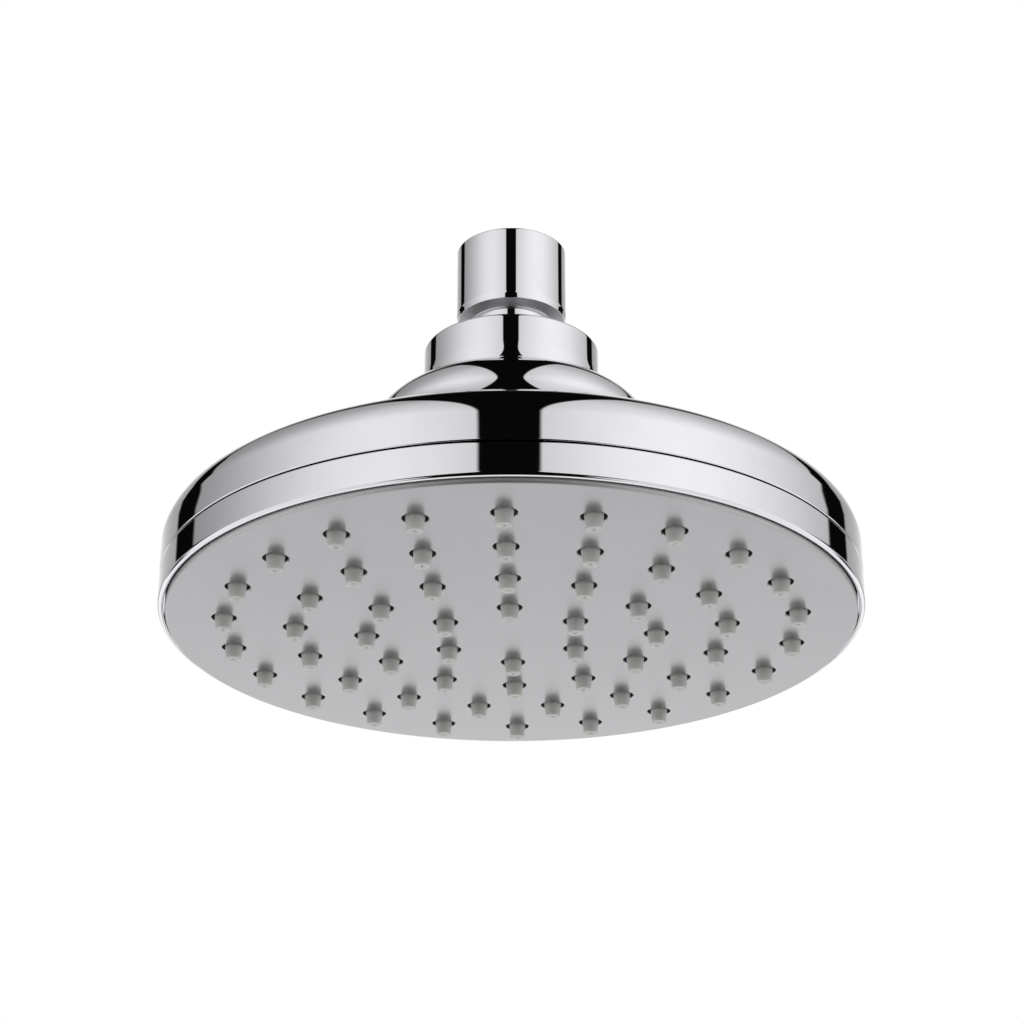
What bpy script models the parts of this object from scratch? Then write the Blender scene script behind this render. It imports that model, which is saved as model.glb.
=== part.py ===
# Overhead rain shower head, 150 mm across, with a ball joint under a half-inch inlet.
# Lengths are in metres, +Z is up, and the inlet points up.
# The origin lies under the middle of the face, level with the lowest nozzle tips.

import math

import bmesh
import bpy
from mathutils import Matrix, Vector

# General values
CLEARANCE = 0.0003
CUT_OVERRUN = 0.0010
MERGE_DISTANCE = 0.00001
SHARP_ANGLE = math.radians(32)
TILT_LIMIT = math.radians(15)

# How many facets go round
LARGE_STEPS = 32
BALL_STEPS = 28
SMALL_STEPS = 20

# Head: its outline, measured up from the rim's lower edge
HEAD_RADIUS = 0.0750
SIDE_WALL_HEIGHT = 0.0134
DOME_RISE = 0.0201
SHOULDER_RISE = 0.0197
SHOULDER_RADIUS = 0.0312
SHOULDER_ROUND_DROP = 0.0100
SHOULDER_FOOT_SPREAD = 0.0075
SHOULDER_SEAT_MARGIN = 0.0008
SHELL_WALL = 0.0026

# Bezier handles of the outline, as shares of the span that each curve crosses
DOME_HANDLE_SHARES = ((0.566, 0.440), (1.0, 0.467))
SHOULDER_HANDLE_SHARES = ((0.661, 0.0), (1.0, 0.590))
FLARE_HANDLE_SHARES = ((0.0, 0.202), (0.320, 0.700))

# Rim ring: the lower band, its lip and the tongue that enters the shell
RIM_BAND_HEIGHT = 0.0070
RIM_LIP_WIDTH = 0.0015
RIM_EDGE_ROUND = 0.0006
RIM_TOP_ROUND = 0.0003
TONGUE_THICKNESS = 0.0010
TONGUE_HEIGHT = 0.0045

# Face plate: a shallow dished sheet with its edge turned up
PLATE_CENTRE_DROP = 0.00275
PLATE_EDGE_DROP = 0.0009
PLATE_THICKNESS = 0.0010
PLATE_WALL_HEIGHT = 0.0033
PLATE_EDGE_ROUND = 0.0014
PLATE_HOLE_RADIUS = 0.00265

# Nozzles: four rings, from the middle outwards
NOZZLE_COUNTS = (6, 12, 17, 22)
FIRST_RING_RADIUS = 0.0158
OUTER_RING_MARGIN = 0.0140
PATTERN_TURN = math.radians(-1.3)
NOZZLE_REACH = 0.0027
NOZZLE_BASE_RADIUS = 0.0021
NOZZLE_TIP_RADIUS = 0.0016
NOZZLE_BORE_RADIUS = 0.0005
NOZZLE_INTAKE_RADIUS = 0.0012
NOZZLE_SIDES = 8
NOZZLE_BORE_SIDES = 6
MAT_THICKNESS = 0.0015
MAT_MARGIN = 0.0040

# Backing plate, its seal and its screws
BACKING_THICKNESS = 0.0025
BACKING_HOLE_RADIUS = 0.0021
BACKING_HOLE_SIDES = 6
FLANGE_UNDERSIDE = 0.0030
FLANGE_THICKNESS = 0.0029
LAND_WIDTH = 0.0070
SEAL_CORD_RADIUS = 0.0009
SEAL_SQUEEZE = 0.0003
SEAL_INSET = 0.0016
SEAL_CORD_SIDES = 6
SCREW_COUNT = 8
SCREW_INSET = 0.00225
SCREW_SHANK_RADIUS = 0.0012
SCREW_LENGTH = 0.0110
SCREW_POINT_LENGTH = 0.0015
SCREW_POINT_RADIUS = 0.0004
SCREW_HEAD_RADIUS = 0.0021
SCREW_HEAD_HEIGHT = 0.0019
SCREW_HEAD_ROUND = 0.0006
SCREW_SLOT_WIDTH = 0.0006
SCREW_SLOT_DEPTH = 0.0009
SCREW_SLOT_LENGTH = 0.0026
SCREW_SIDES = 8

# Ball joint
BALL_RADIUS = 0.0116
BALL_FLAT_DEPTH = 0.0094
STEM_RADIUS = 0.0072
STEM_ROOT_ROUND = 0.0005
WATER_BORE_RADIUS = 0.0046
SEAL_CUP_WALL = 0.0018
SEAL_CUP_RISE = 0.0022
SEAL_CUP_DEPTH = 0.0082
SEAL_CUP_CHAMFER = 0.0004
BACKING_RING_THICKNESS = 0.0009
BACKING_RING_WIDTH = 0.0043
NECK_WALL = 0.0019
NECK_CHAMFER = 0.0003
SPLIT_RING_HEIGHT = 0.0042
SPLIT_RING_TOP_RISE = 0.0076
SPLIT_RING_GAP = 0.0010

# Collar nut
NUT_THREAD_LENGTH = 0.0047
NUT_LIP_THICKNESS = 0.0020
NUT_WALL = 0.0033
NUT_TOP_ROUND = 0.0007
NUT_FOOT_ROUND = 0.0012
NUT_BORE_CHAMFER = 0.0004
NUT_OPENING_MARGIN = 0.0004

# Water passage under the ball
PASSAGE_RADIUS = 0.0060
PASSAGE_TAPER_DEPTH = 0.0040
PASSAGE_THROAT_DEPTH = 0.0028
TUBE_WALL = 0.0039
TUBE_TAPER_DEPTH = 0.0055
TUBE_FOOT_WIDTH = 0.0040

# Inlet: half-inch pipe thread, drawn at its crest radius
INLET_GAP = 0.0083
INLET_HEIGHT = 0.0174
INLET_WALL = 0.0031
INLET_FOOT_HEIGHT = 0.0011
INLET_FOOT_WIDTH = 0.0009
INLET_TAPER_HEIGHT = 0.0011
INLET_NECK_RADIUS = 0.0095
INLET_NECK_HEIGHT = 0.0030
INLET_TOP_ROUND = 0.0004
SOCKET_RADIUS = 0.0093
SOCKET_DEPTH = 0.0137
SOCKET_CHAMFER = 0.0005
LIMITER_RADIUS = 0.0062
LIMITER_THICKNESS = 0.0021
LIMITER_HOLE_RADIUS = 0.0009
LIMITER_HOLE_CIRCLE = 0.0033
LIMITER_HOLE_COUNT = 6
ROUND_HOLE_SIDES = 8
STRAINER_THICKNESS = 0.0007
STRAINER_CAP_RADIUS = 0.0046
STRAINER_CAP_RISE = 0.0013
STRAINER_HOLE_RADIUS = 0.0004
STRAINER_HOLE_SIDES = 4
STRAINER_HOLE_COUNTS = (6, 12)
STRAINER_HOLE_PITCH = 0.0016
WASHER_THICKNESS = 0.0020
WASHER_BORE_RADIUS = 0.0053
WASHER_CHAMFER = 0.0002


# Places worked out from the sizes above

def plate_drop(radius):
    """How far the face plate's outer surface hangs below the rim's lower edge."""
    share = radius / PLATE_RADIUS
    return PLATE_CENTRE_DROP - (PLATE_CENTRE_DROP - PLATE_EDGE_DROP) * share * share


PLATE_RADIUS = HEAD_RADIUS - RIM_LIP_WIDTH - CLEARANCE
OUTER_RING_RADIUS = HEAD_RADIUS - OUTER_RING_MARGIN
RING_PITCH = (OUTER_RING_RADIUS - FIRST_RING_RADIUS) / (len(NOZZLE_COUNTS) - 1)
RING_RADII = [FIRST_RING_RADIUS + RING_PITCH * i for i in range(len(NOZZLE_COUNTS))]
FLAT_RADIUS = FIRST_RING_RADIUS + RING_PITCH / 2
MAT_RADIUS = OUTER_RING_RADIUS + MAT_MARGIN

RIM_Z = plate_drop(FIRST_RING_RADIUS) + NOZZLE_REACH
PARTING_Z = RIM_Z + RIM_BAND_HEIGHT
WALL_TOP_Z = RIM_Z + SIDE_WALL_HEIGHT
DOME_TOP_Z = WALL_TOP_Z + DOME_RISE
SHOULDER_TOP_Z = DOME_TOP_Z + SHOULDER_RISE
SHOULDER_SIDE_Z = SHOULDER_TOP_Z - SHOULDER_ROUND_DROP
SHOULDER_FOOT_RADIUS = SHOULDER_RADIUS + SHOULDER_FOOT_SPREAD

NUT_BOTTOM_Z = SHOULDER_TOP_Z + CLEARANCE
NUT_SEAT_Z = NUT_BOTTOM_Z + NUT_THREAD_LENGTH
SPLIT_RING_BOTTOM_Z = NUT_SEAT_Z + CLEARANCE
SPLIT_RING_TOP_Z = SPLIT_RING_BOTTOM_Z + SPLIT_RING_HEIGHT
NUT_LIP_Z = SPLIT_RING_TOP_Z + CLEARANCE
NUT_TOP_Z = NUT_LIP_Z + NUT_LIP_THICKNESS
NECK_TOP_Z = NUT_SEAT_Z - CLEARANCE
BALL_Z = SPLIT_RING_TOP_Z - SPLIT_RING_TOP_RISE

SOCKET_SPHERE_RADIUS = BALL_RADIUS + CLEARANCE
SEAL_CUP_RADIUS = SOCKET_SPHERE_RADIUS + SEAL_CUP_WALL
NECK_BORE_RADIUS = SEAL_CUP_RADIUS + CLEARANCE
NECK_RADIUS = NECK_BORE_RADIUS + NECK_WALL
NUT_BORE_RADIUS = NECK_RADIUS + CLEARANCE
NUT_RADIUS = NUT_BORE_RADIUS + NUT_WALL
NUT_OPENING_RADIUS = BALL_RADIUS + NUT_OPENING_MARGIN
SPLIT_RING_RADIUS = NECK_BORE_RADIUS
NUT_RING_BORE_RADIUS = SPLIT_RING_RADIUS + CLEARANCE
SPLIT_RING_BORE = (STEM_RADIUS / math.cos(TILT_LIMIT)
                   + SPLIT_RING_TOP_RISE * math.tan(TILT_LIMIT) + CLEARANCE)

CUP_BOTTOM_Z = BALL_Z - SEAL_CUP_DEPTH
BACKING_RING_TOP_Z = CUP_BOTTOM_Z - CLEARANCE
BACKING_RING_BOTTOM_Z = BACKING_RING_TOP_Z - BACKING_RING_THICKNESS
BACKING_RING_BORE = SEAL_CUP_RADIUS - BACKING_RING_WIDTH
NECK_SEAT_Z = BACKING_RING_BOTTOM_Z - CLEARANCE

INLET_BOTTOM_Z = NUT_TOP_Z + INLET_GAP
INLET_TOP_Z = INLET_BOTTOM_Z + INLET_HEIGHT
INLET_RADIUS = SOCKET_RADIUS + INLET_WALL
SOCKET_FLOOR_Z = INLET_TOP_Z - SOCKET_DEPTH
LIMITER_TOP_Z = SOCKET_FLOOR_Z - CLEARANCE
LIMITER_BOTTOM_Z = LIMITER_TOP_Z - LIMITER_THICKNESS
LIMITER_SEAT_Z = LIMITER_BOTTOM_Z - CLEARANCE
STRAINER_BOTTOM_Z = SOCKET_FLOOR_Z + CLEARANCE
STRAINER_TOP_Z = STRAINER_BOTTOM_Z + STRAINER_THICKNESS
WASHER_BOTTOM_Z = STRAINER_TOP_Z + CLEARANCE
WASHER_TOP_Z = WASHER_BOTTOM_Z + WASHER_THICKNESS

TONGUE_OUTER_RADIUS = HEAD_RADIUS - RIM_LIP_WIDTH - 2 * CLEARANCE
TONGUE_INNER_RADIUS = TONGUE_OUTER_RADIUS - TONGUE_THICKNESS
TONGUE_TOP_Z = PARTING_Z + TONGUE_HEIGHT
LAND_OUTER_RADIUS = TONGUE_INNER_RADIUS - CLEARANCE
LAND_INNER_RADIUS = LAND_OUTER_RADIUS - LAND_WIDTH
FLANGE_BOTTOM_Z = RIM_Z + FLANGE_UNDERSIDE
FLANGE_TOP_Z = FLANGE_BOTTOM_Z + FLANGE_THICKNESS
LAND_Z = FLANGE_TOP_Z + CLEARANCE
SEAL_RADIUS = LAND_INNER_RADIUS + SEAL_INSET
SCREW_CIRCLE_RADIUS = LAND_OUTER_RADIUS - SCREW_INSET
SCREW_SEAT_Z = FLANGE_BOTTOM_Z - CLEARANCE
SCREW_HOLE_RADIUS = SCREW_SHANK_RADIUS + CLEARANCE


# Scene, materials and parents

def clear_scene():
    for old in list(bpy.data.objects):
        bpy.data.objects.remove(old, do_unlink=True)


def new_collection(name):
    collection = bpy.data.collections.new(name)
    bpy.context.scene.collection.children.link(collection)
    return collection


def new_material(name, colour, metallic, roughness):
    material = bpy.data.materials.new(name)
    material.use_nodes = True
    shader = material.node_tree.nodes["Principled BSDF"]
    shader.inputs["Base Color"].default_value = (*colour, 1.0)
    shader.inputs["Metallic"].default_value = metallic
    shader.inputs["Roughness"].default_value = roughness
    return material


def new_pivot(name, parent, height):
    """An empty on the ball's centre: what turns with it is parented to it."""
    pivot = bpy.data.objects.new(name, None)
    pivot.location = (0, 0, height)
    pivot.parent = parent
    PARTS.objects.link(pivot)
    return pivot


def add_part(obj, material, pivot=None):
    """Gives a finished piece its material, and its parent if it moves."""
    obj.data.materials.clear()
    obj.data.materials.append(material)
    if pivot is not None:
        obj.parent = pivot
        obj.location.z -= BALL_Z
    return obj


# Shapes

def bezier(start, first_handle, second_handle, end, steps):
    """Points of a cubic curve, both ends included."""
    points = []
    for i in range(steps + 1):
        t = i / steps
        weights = ((1 - t) ** 3, 3 * (1 - t) ** 2 * t, 3 * (1 - t) * t * t, t ** 3)
        corners = (start, first_handle, second_handle, end)
        radius = sum(w * corner[0] for w, corner in zip(weights, corners))
        height = sum(w * corner[1] for w, corner in zip(weights, corners))
        points.append((radius, height))
    return points


def between(start, end, shares):
    """A point given as shares of the way from start to end, in radius and in height."""
    return (start[0] + (end[0] - start[0]) * shares[0],
            start[1] + (end[1] - start[1]) * shares[1])


def arc(centre_z, radius, first_angle, last_angle, steps):
    """Points of a circle round the axis point at centre_z. Angles run down from the top."""
    points = []
    for i in range(steps + 1):
        angle = first_angle + (last_angle - first_angle) * i / steps
        points.append((radius * math.sin(angle), centre_z + radius * math.cos(angle)))
    return points


def corner(centre, radius, first_angle, last_angle, steps=2):
    """Points of a small edge round. Angles run down from the top, as in arc."""
    points = []
    for i in range(steps + 1):
        angle = first_angle + (last_angle - first_angle) * i / steps
        points.append((centre[0] + radius * math.sin(angle),
                       centre[1] + radius * math.cos(angle)))
    return points


def baked(obj):
    """Applies an object's modifiers and shades the result smooth between its sharp edges."""
    graph = bpy.context.evaluated_depsgraph_get()
    mesh = bpy.data.meshes.new_from_object(obj.evaluated_get(graph))
    obj.modifiers.clear()
    obj.data = mesh
    mesh.name = obj.name
    mesh.shade_smooth()
    mesh.set_sharp_from_angle(angle=SHARP_ANGLE)
    return obj


def turned(name, profile, steps, closed=True):
    """Turns a profile of (radius, height) points about the Z axis.

    A closed profile runs down its outer side and up its inner side.
    An open one starts and ends on the axis.
    """
    edges = [(i, i + 1) for i in range(len(profile) - 1)]
    if closed:
        edges.append((len(profile) - 1, 0))
    mesh = bpy.data.meshes.new(name)
    mesh.from_pydata([(radius, 0, height) for radius, height in profile], edges, [])
    obj = bpy.data.objects.new(name, mesh)
    PARTS.objects.link(obj)
    screw = obj.modifiers.new("Turn", "SCREW")
    screw.steps = steps
    screw.render_steps = steps
    screw.use_merge_vertices = True
    screw.merge_threshold = MERGE_DISTANCE
    bpy.context.view_layer.update()
    return baked(obj)


def cutter_object(name, shape):
    """Puts a bmesh into a hidden object that only shapes other pieces."""
    mesh = bpy.data.meshes.new(name)
    bmesh.ops.recalc_face_normals(shape, faces=shape.faces)
    shape.to_mesh(mesh)
    shape.free()
    obj = bpy.data.objects.new(name, mesh)
    obj.hide_render = True
    obj.display_type = "WIRE"
    CUTTERS.objects.link(obj)
    return obj


def pegs(name, places, low_radius, high_radius, sides):
    """Upright pegs at (x, y, low, high), all in one cutter."""
    shape = bmesh.new()
    for x, y, low, high in places:
        turn = Matrix.Rotation(math.atan2(y, x), 4, "Z")
        place = Matrix.Translation(Vector((x, y, (low + high) / 2))) @ turn
        bmesh.ops.create_cone(shape, cap_ends=True, segments=sides, radius1=low_radius,
                              radius2=high_radius, depth=high - low, matrix=place)
    return cutter_object(name, shape)


def blocks(name, boxes):
    """Square blocks, each given by its low and high corners, all in one cutter."""
    shape = bmesh.new()
    for low, high in boxes:
        middle = (Vector(low) + Vector(high)) / 2
        size = Vector(high) - Vector(low)
        place = Matrix.Translation(middle) @ Matrix.Diagonal((*size, 1.0))
        bmesh.ops.create_cube(shape, size=1.0, matrix=place)
    return cutter_object(name, shape)


def combine(obj, cutter, operation):
    boolean = obj.modifiers.new(cutter.name, "BOOLEAN")
    boolean.operation = operation
    boolean.solver = "EXACT"
    boolean.object = cutter
    bpy.context.view_layer.update()


def nozzle_places(low, high):
    """Where each nozzle stands, with heights above the plate's outer surface there."""
    places = []
    for radius, count in zip(RING_RADII, NOZZLE_COUNTS):
        surface = RIM_Z - plate_drop(radius)
        for i in range(count):
            angle = PATTERN_TURN + math.tau * i / count
            x = radius * math.sin(angle)
            y = -radius * math.cos(angle)
            places.append((x, y, surface + low, surface + high))
    return places


def screw_places():
    """Angles of the screws round the head, halfway between the axes."""
    return [math.tau * (i + 0.5) / SCREW_COUNT for i in range(SCREW_COUNT)]


def dished(offset, last_radius):
    """The plate's dish from the middle out, raised by offset: a flat, then a slope."""
    flat_z = RIM_Z - plate_drop(FIRST_RING_RADIUS) + offset
    edge_z = RIM_Z - plate_drop(last_radius) + offset
    return [(0, flat_z), (FLAT_RADIUS, flat_z), (last_radius, edge_z)]


# Inlet side

def inlet_connector():
    """One turned piece: pipe socket, stem and ball, with a water bore through them."""
    stem_angle = math.asin(STEM_RADIUS / BALL_RADIUS)
    flat_angle = math.acos(-BALL_FLAT_DEPTH / BALL_RADIUS)
    taper_z = INLET_BOTTOM_Z - INLET_TAPER_HEIGHT
    neck_z = taper_z - INLET_NECK_HEIGHT
    root = (STEM_RADIUS + STEM_ROOT_ROUND, neck_z - STEM_ROOT_ROUND)
    profile = [
        (INLET_RADIUS - INLET_TOP_ROUND, INLET_TOP_Z),
        (INLET_RADIUS, INLET_TOP_Z - INLET_TOP_ROUND),
        (INLET_RADIUS, INLET_BOTTOM_Z + INLET_FOOT_HEIGHT),
        (INLET_RADIUS - INLET_FOOT_WIDTH, INLET_BOTTOM_Z),
        (INLET_NECK_RADIUS, taper_z),
        (INLET_NECK_RADIUS, neck_z),
    ]
    profile += corner(root, STEM_ROOT_ROUND, 0, -math.pi / 2)
    profile += arc(BALL_Z, BALL_RADIUS, stem_angle, flat_angle, 9)
    profile += [
        (WATER_BORE_RADIUS, BALL_Z - BALL_FLAT_DEPTH),
        (WATER_BORE_RADIUS, LIMITER_SEAT_Z),
        (LIMITER_RADIUS + CLEARANCE, LIMITER_SEAT_Z),
        (LIMITER_RADIUS + CLEARANCE, SOCKET_FLOOR_Z),
        (SOCKET_RADIUS, SOCKET_FLOOR_Z),
        (SOCKET_RADIUS, INLET_TOP_Z - SOCKET_CHAMFER),
        (SOCKET_RADIUS + SOCKET_CHAMFER, INLET_TOP_Z),
    ]
    return turned("inlet_connector", profile, BALL_STEPS)


def inlet_washer():
    outer = SOCKET_RADIUS - CLEARANCE
    profile = [
        (outer - WASHER_CHAMFER, WASHER_TOP_Z),
        (outer, WASHER_TOP_Z - WASHER_CHAMFER),
        (outer, WASHER_BOTTOM_Z),
        (WASHER_BORE_RADIUS, WASHER_BOTTOM_Z),
        (WASHER_BORE_RADIUS, WASHER_TOP_Z),
    ]
    return turned("inlet_washer", profile, SMALL_STEPS)


def inlet_strainer():
    """A thin disc whose middle is raised and pierced, held under the washer."""
    outer = SOCKET_RADIUS - CLEARANCE
    cap_foot = STRAINER_CAP_RADIUS + STRAINER_CAP_RISE / 2
    profile = [
        (0, STRAINER_TOP_Z + STRAINER_CAP_RISE),
        (STRAINER_CAP_RADIUS, STRAINER_TOP_Z + STRAINER_CAP_RISE),
        (cap_foot, STRAINER_TOP_Z),
        (outer, STRAINER_TOP_Z),
        (outer, STRAINER_BOTTOM_Z),
        (cap_foot - STRAINER_THICKNESS, STRAINER_BOTTOM_Z),
        (STRAINER_CAP_RADIUS - STRAINER_THICKNESS, STRAINER_BOTTOM_Z + STRAINER_CAP_RISE),
        (0, STRAINER_BOTTOM_Z + STRAINER_CAP_RISE),
    ]
    obj = turned("inlet_strainer", profile, SMALL_STEPS, closed=False)
    low = STRAINER_BOTTOM_Z
    high = STRAINER_TOP_Z + STRAINER_CAP_RISE + CUT_OVERRUN
    places = []
    for ring, count in enumerate(STRAINER_HOLE_COUNTS, start=1):
        for i in range(count):
            angle = math.tau * i / count
            x = ring * STRAINER_HOLE_PITCH * math.cos(angle)
            y = ring * STRAINER_HOLE_PITCH * math.sin(angle)
            places.append((x, y, low, high))
    holes = pegs("strainer_holes", places, STRAINER_HOLE_RADIUS, STRAINER_HOLE_RADIUS,
                 STRAINER_HOLE_SIDES)
    combine(obj, holes, "DIFFERENCE")
    return obj


def flow_limiter():
    """A pierced disc in the recess under the socket's floor."""
    profile = [
        (0, LIMITER_TOP_Z),
        (LIMITER_RADIUS, LIMITER_TOP_Z),
        (LIMITER_RADIUS, LIMITER_BOTTOM_Z),
        (0, LIMITER_BOTTOM_Z),
    ]
    obj = turned("flow_limiter", profile, SMALL_STEPS, closed=False)
    places = []
    for i in range(LIMITER_HOLE_COUNT):
        angle = math.tau * i / LIMITER_HOLE_COUNT
        x = LIMITER_HOLE_CIRCLE * math.cos(angle)
        y = LIMITER_HOLE_CIRCLE * math.sin(angle)
        places.append((x, y, LIMITER_BOTTOM_Z - CUT_OVERRUN, LIMITER_TOP_Z + CUT_OVERRUN))
    holes = pegs("limiter_holes", places, LIMITER_HOLE_RADIUS, LIMITER_HOLE_RADIUS,
                 ROUND_HOLE_SIDES)
    combine(obj, holes, "DIFFERENCE")
    return obj


# Ball joint

def collar_nut():
    top = (NUT_RADIUS - NUT_TOP_ROUND, NUT_TOP_Z - NUT_TOP_ROUND)
    foot = (NUT_RADIUS - NUT_FOOT_ROUND, NUT_BOTTOM_Z + NUT_FOOT_ROUND)
    profile = corner(top, NUT_TOP_ROUND, 0, math.pi / 2)
    profile += corner(foot, NUT_FOOT_ROUND, math.pi / 2, math.pi, 3)
    profile += [
        (NUT_BORE_RADIUS + NUT_BORE_CHAMFER, NUT_BOTTOM_Z),
        (NUT_BORE_RADIUS, NUT_BOTTOM_Z + NUT_BORE_CHAMFER),
        (NUT_BORE_RADIUS, NUT_SEAT_Z),
        (NUT_RING_BORE_RADIUS, NUT_SEAT_Z),
        (NUT_RING_BORE_RADIUS, NUT_LIP_Z),
        (NUT_OPENING_RADIUS, NUT_LIP_Z),
        (NUT_OPENING_RADIUS, NUT_TOP_Z - NUT_BORE_CHAMFER),
        (NUT_OPENING_RADIUS + NUT_BORE_CHAMFER, NUT_TOP_Z),
    ]
    return turned("collar_nut", profile, LARGE_STEPS)


def split_ring():
    """The slit ring that holds the ball down: it goes round the stem, under the nut's lip."""
    bore_angle = math.asin(SPLIT_RING_BORE / SOCKET_SPHERE_RADIUS)
    low_angle = math.acos((SPLIT_RING_BOTTOM_Z - BALL_Z) / SOCKET_SPHERE_RADIUS)
    profile = [
        (SPLIT_RING_RADIUS, SPLIT_RING_TOP_Z),
        (SPLIT_RING_RADIUS, SPLIT_RING_BOTTOM_Z),
    ]
    profile += arc(BALL_Z, SOCKET_SPHERE_RADIUS, low_angle, bore_angle, 3)
    profile.append((SPLIT_RING_BORE, SPLIT_RING_TOP_Z))
    obj = turned("split_ring", profile, BALL_STEPS)
    low = (-SPLIT_RING_RADIUS - CUT_OVERRUN, -SPLIT_RING_GAP / 2,
           SPLIT_RING_BOTTOM_Z - CUT_OVERRUN)
    high = (0, SPLIT_RING_GAP / 2, SPLIT_RING_TOP_Z + CUT_OVERRUN)
    combine(obj, blocks("split_ring_slit", [(low, high)]), "DIFFERENCE")
    return obj


def ball_seal():
    """The rubber cup that the ball is pressed into."""
    top_z = BALL_Z + SEAL_CUP_RISE
    top_angle = math.acos(SEAL_CUP_RISE / SOCKET_SPHERE_RADIUS)
    low_angle = math.acos(-SEAL_CUP_DEPTH / SOCKET_SPHERE_RADIUS)
    profile = [
        (SEAL_CUP_RADIUS - SEAL_CUP_CHAMFER, top_z),
        (SEAL_CUP_RADIUS, top_z - SEAL_CUP_CHAMFER),
        (SEAL_CUP_RADIUS, CUP_BOTTOM_Z),
    ]
    profile += arc(BALL_Z, SOCKET_SPHERE_RADIUS, low_angle, top_angle, 6)
    return turned("ball_seal", profile, BALL_STEPS)


def seal_backing_ring():
    profile = [
        (SEAL_CUP_RADIUS, BACKING_RING_TOP_Z),
        (SEAL_CUP_RADIUS, BACKING_RING_BOTTOM_Z),
        (BACKING_RING_BORE, BACKING_RING_BOTTOM_Z),
        (BACKING_RING_BORE, BACKING_RING_TOP_Z),
    ]
    return turned("seal_backing_ring", profile, SMALL_STEPS)


# Head

def shell_curves(wall, steps):
    """Shoulder, flare and dome from the nut's seat to the side wall, set in by a wall."""
    top = (NUT_RADIUS + SHOULDER_SEAT_MARGIN, SHOULDER_TOP_Z)
    side = (SHOULDER_RADIUS, SHOULDER_SIDE_Z)
    foot = (SHOULDER_FOOT_RADIUS, DOME_TOP_Z)
    rim = (HEAD_RADIUS, WALL_TOP_Z)
    curves = []
    spans = ((top, side, SHOULDER_HANDLE_SHARES), (side, foot, FLARE_HANDLE_SHARES),
             (foot, rim, None))
    for (start, end, handles), count in zip(spans, steps):
        if handles is None:
            shares = [(x, 1 - y) for x, y in DOME_HANDLE_SHARES]
        else:
            shares = handles
        first = between(start, end, shares[0])
        second = between(start, end, shares[1])
        curves.append([start, first, second, end, count])
    shoulder, flare, dome = curves
    shoulder[0] = (shoulder[0][0], shoulder[0][1] - wall)
    shoulder[1] = (shoulder[1][0] - wall / 2, shoulder[1][1] - wall)
    for i in (2, 3):
        shoulder[i] = (shoulder[i][0] - wall, shoulder[i][1])
    for i in (0, 1):
        flare[i] = (flare[i][0] - wall, flare[i][1])
    flare[2] = (flare[2][0] - wall / 2, flare[2][1] - wall)
    flare[3] = (flare[3][0], flare[3][1] - wall)
    for i in range(4):
        dome[i] = (dome[i][0], dome[i][1] - wall)
    return [bezier(*curve) for curve in (shoulder, flare, dome)]


def body_shell():
    """Dome, shoulder and threaded neck in one moulding, with the land that the screws enter."""
    outer_shoulder, outer_flare, outer_dome = shell_curves(0, (6, 4, 8))
    inner_shoulder, inner_flare, inner_dome = shell_curves(SHELL_WALL, (3, 2, 5))
    bottom_z = PARTING_Z + CLEARANCE
    pocket_z = TONGUE_TOP_Z + CLEARANCE
    groove_half = SEAL_CORD_RADIUS + CLEARANCE / 2
    groove_z = LAND_Z + 2 * SEAL_CORD_RADIUS - SEAL_SQUEEZE
    tube_radius = NECK_BORE_RADIUS + TUBE_WALL
    tube_foot_z = NECK_SEAT_Z - PASSAGE_TAPER_DEPTH - PASSAGE_THROAT_DEPTH
    ceiling_z = inner_shoulder[0][1]

    profile = [
        (NECK_RADIUS - NECK_CHAMFER, NECK_TOP_Z),
        (NECK_RADIUS, NECK_TOP_Z - NECK_CHAMFER),
        (NECK_RADIUS, SHOULDER_TOP_Z),
    ]
    profile += outer_shoulder + outer_flare[1:] + outer_dome[1:]
    profile += [
        (HEAD_RADIUS, bottom_z + RIM_TOP_ROUND),
        (HEAD_RADIUS - RIM_TOP_ROUND, bottom_z),
        (TONGUE_OUTER_RADIUS + CLEARANCE, bottom_z),
        (TONGUE_OUTER_RADIUS + CLEARANCE, pocket_z),
        (LAND_OUTER_RADIUS, pocket_z),
        (LAND_OUTER_RADIUS, LAND_Z),
        (SEAL_RADIUS + groove_half, LAND_Z),
        (SEAL_RADIUS + groove_half, groove_z),
        (SEAL_RADIUS - groove_half, groove_z),
        (SEAL_RADIUS - groove_half, LAND_Z),
        (LAND_INNER_RADIUS, LAND_Z),
    ]
    profile += chamber_edge(inner_dome) + inner_flare[-2::-1] + inner_shoulder[-2:0:-1]
    profile += [
        (tube_radius, ceiling_z),
        (tube_radius, tube_foot_z + TUBE_TAPER_DEPTH),
        (PASSAGE_RADIUS + TUBE_FOOT_WIDTH, tube_foot_z),
        (PASSAGE_RADIUS, tube_foot_z),
        (PASSAGE_RADIUS, tube_foot_z + PASSAGE_THROAT_DEPTH),
        (BACKING_RING_BORE, NECK_SEAT_Z),
        (NECK_BORE_RADIUS, NECK_SEAT_Z),
        (NECK_BORE_RADIUS, NECK_TOP_Z - NECK_CHAMFER),
        (NECK_BORE_RADIUS + NECK_CHAMFER, NECK_TOP_Z),
    ]
    obj = turned("body_shell", profile, LARGE_STEPS)

    depth = SCREW_SEAT_Z + SCREW_LENGTH + CLEARANCE
    places = []
    for angle in screw_places():
        x = SCREW_CIRCLE_RADIUS * math.cos(angle)
        y = SCREW_CIRCLE_RADIUS * math.sin(angle)
        places.append((x, y, LAND_Z - CUT_OVERRUN, depth))
    holes = pegs("land_holes", places, SCREW_HOLE_RADIUS, SCREW_HOLE_RADIUS,
                 ROUND_HOLE_SIDES)
    combine(obj, holes, "DIFFERENCE")
    return obj


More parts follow.
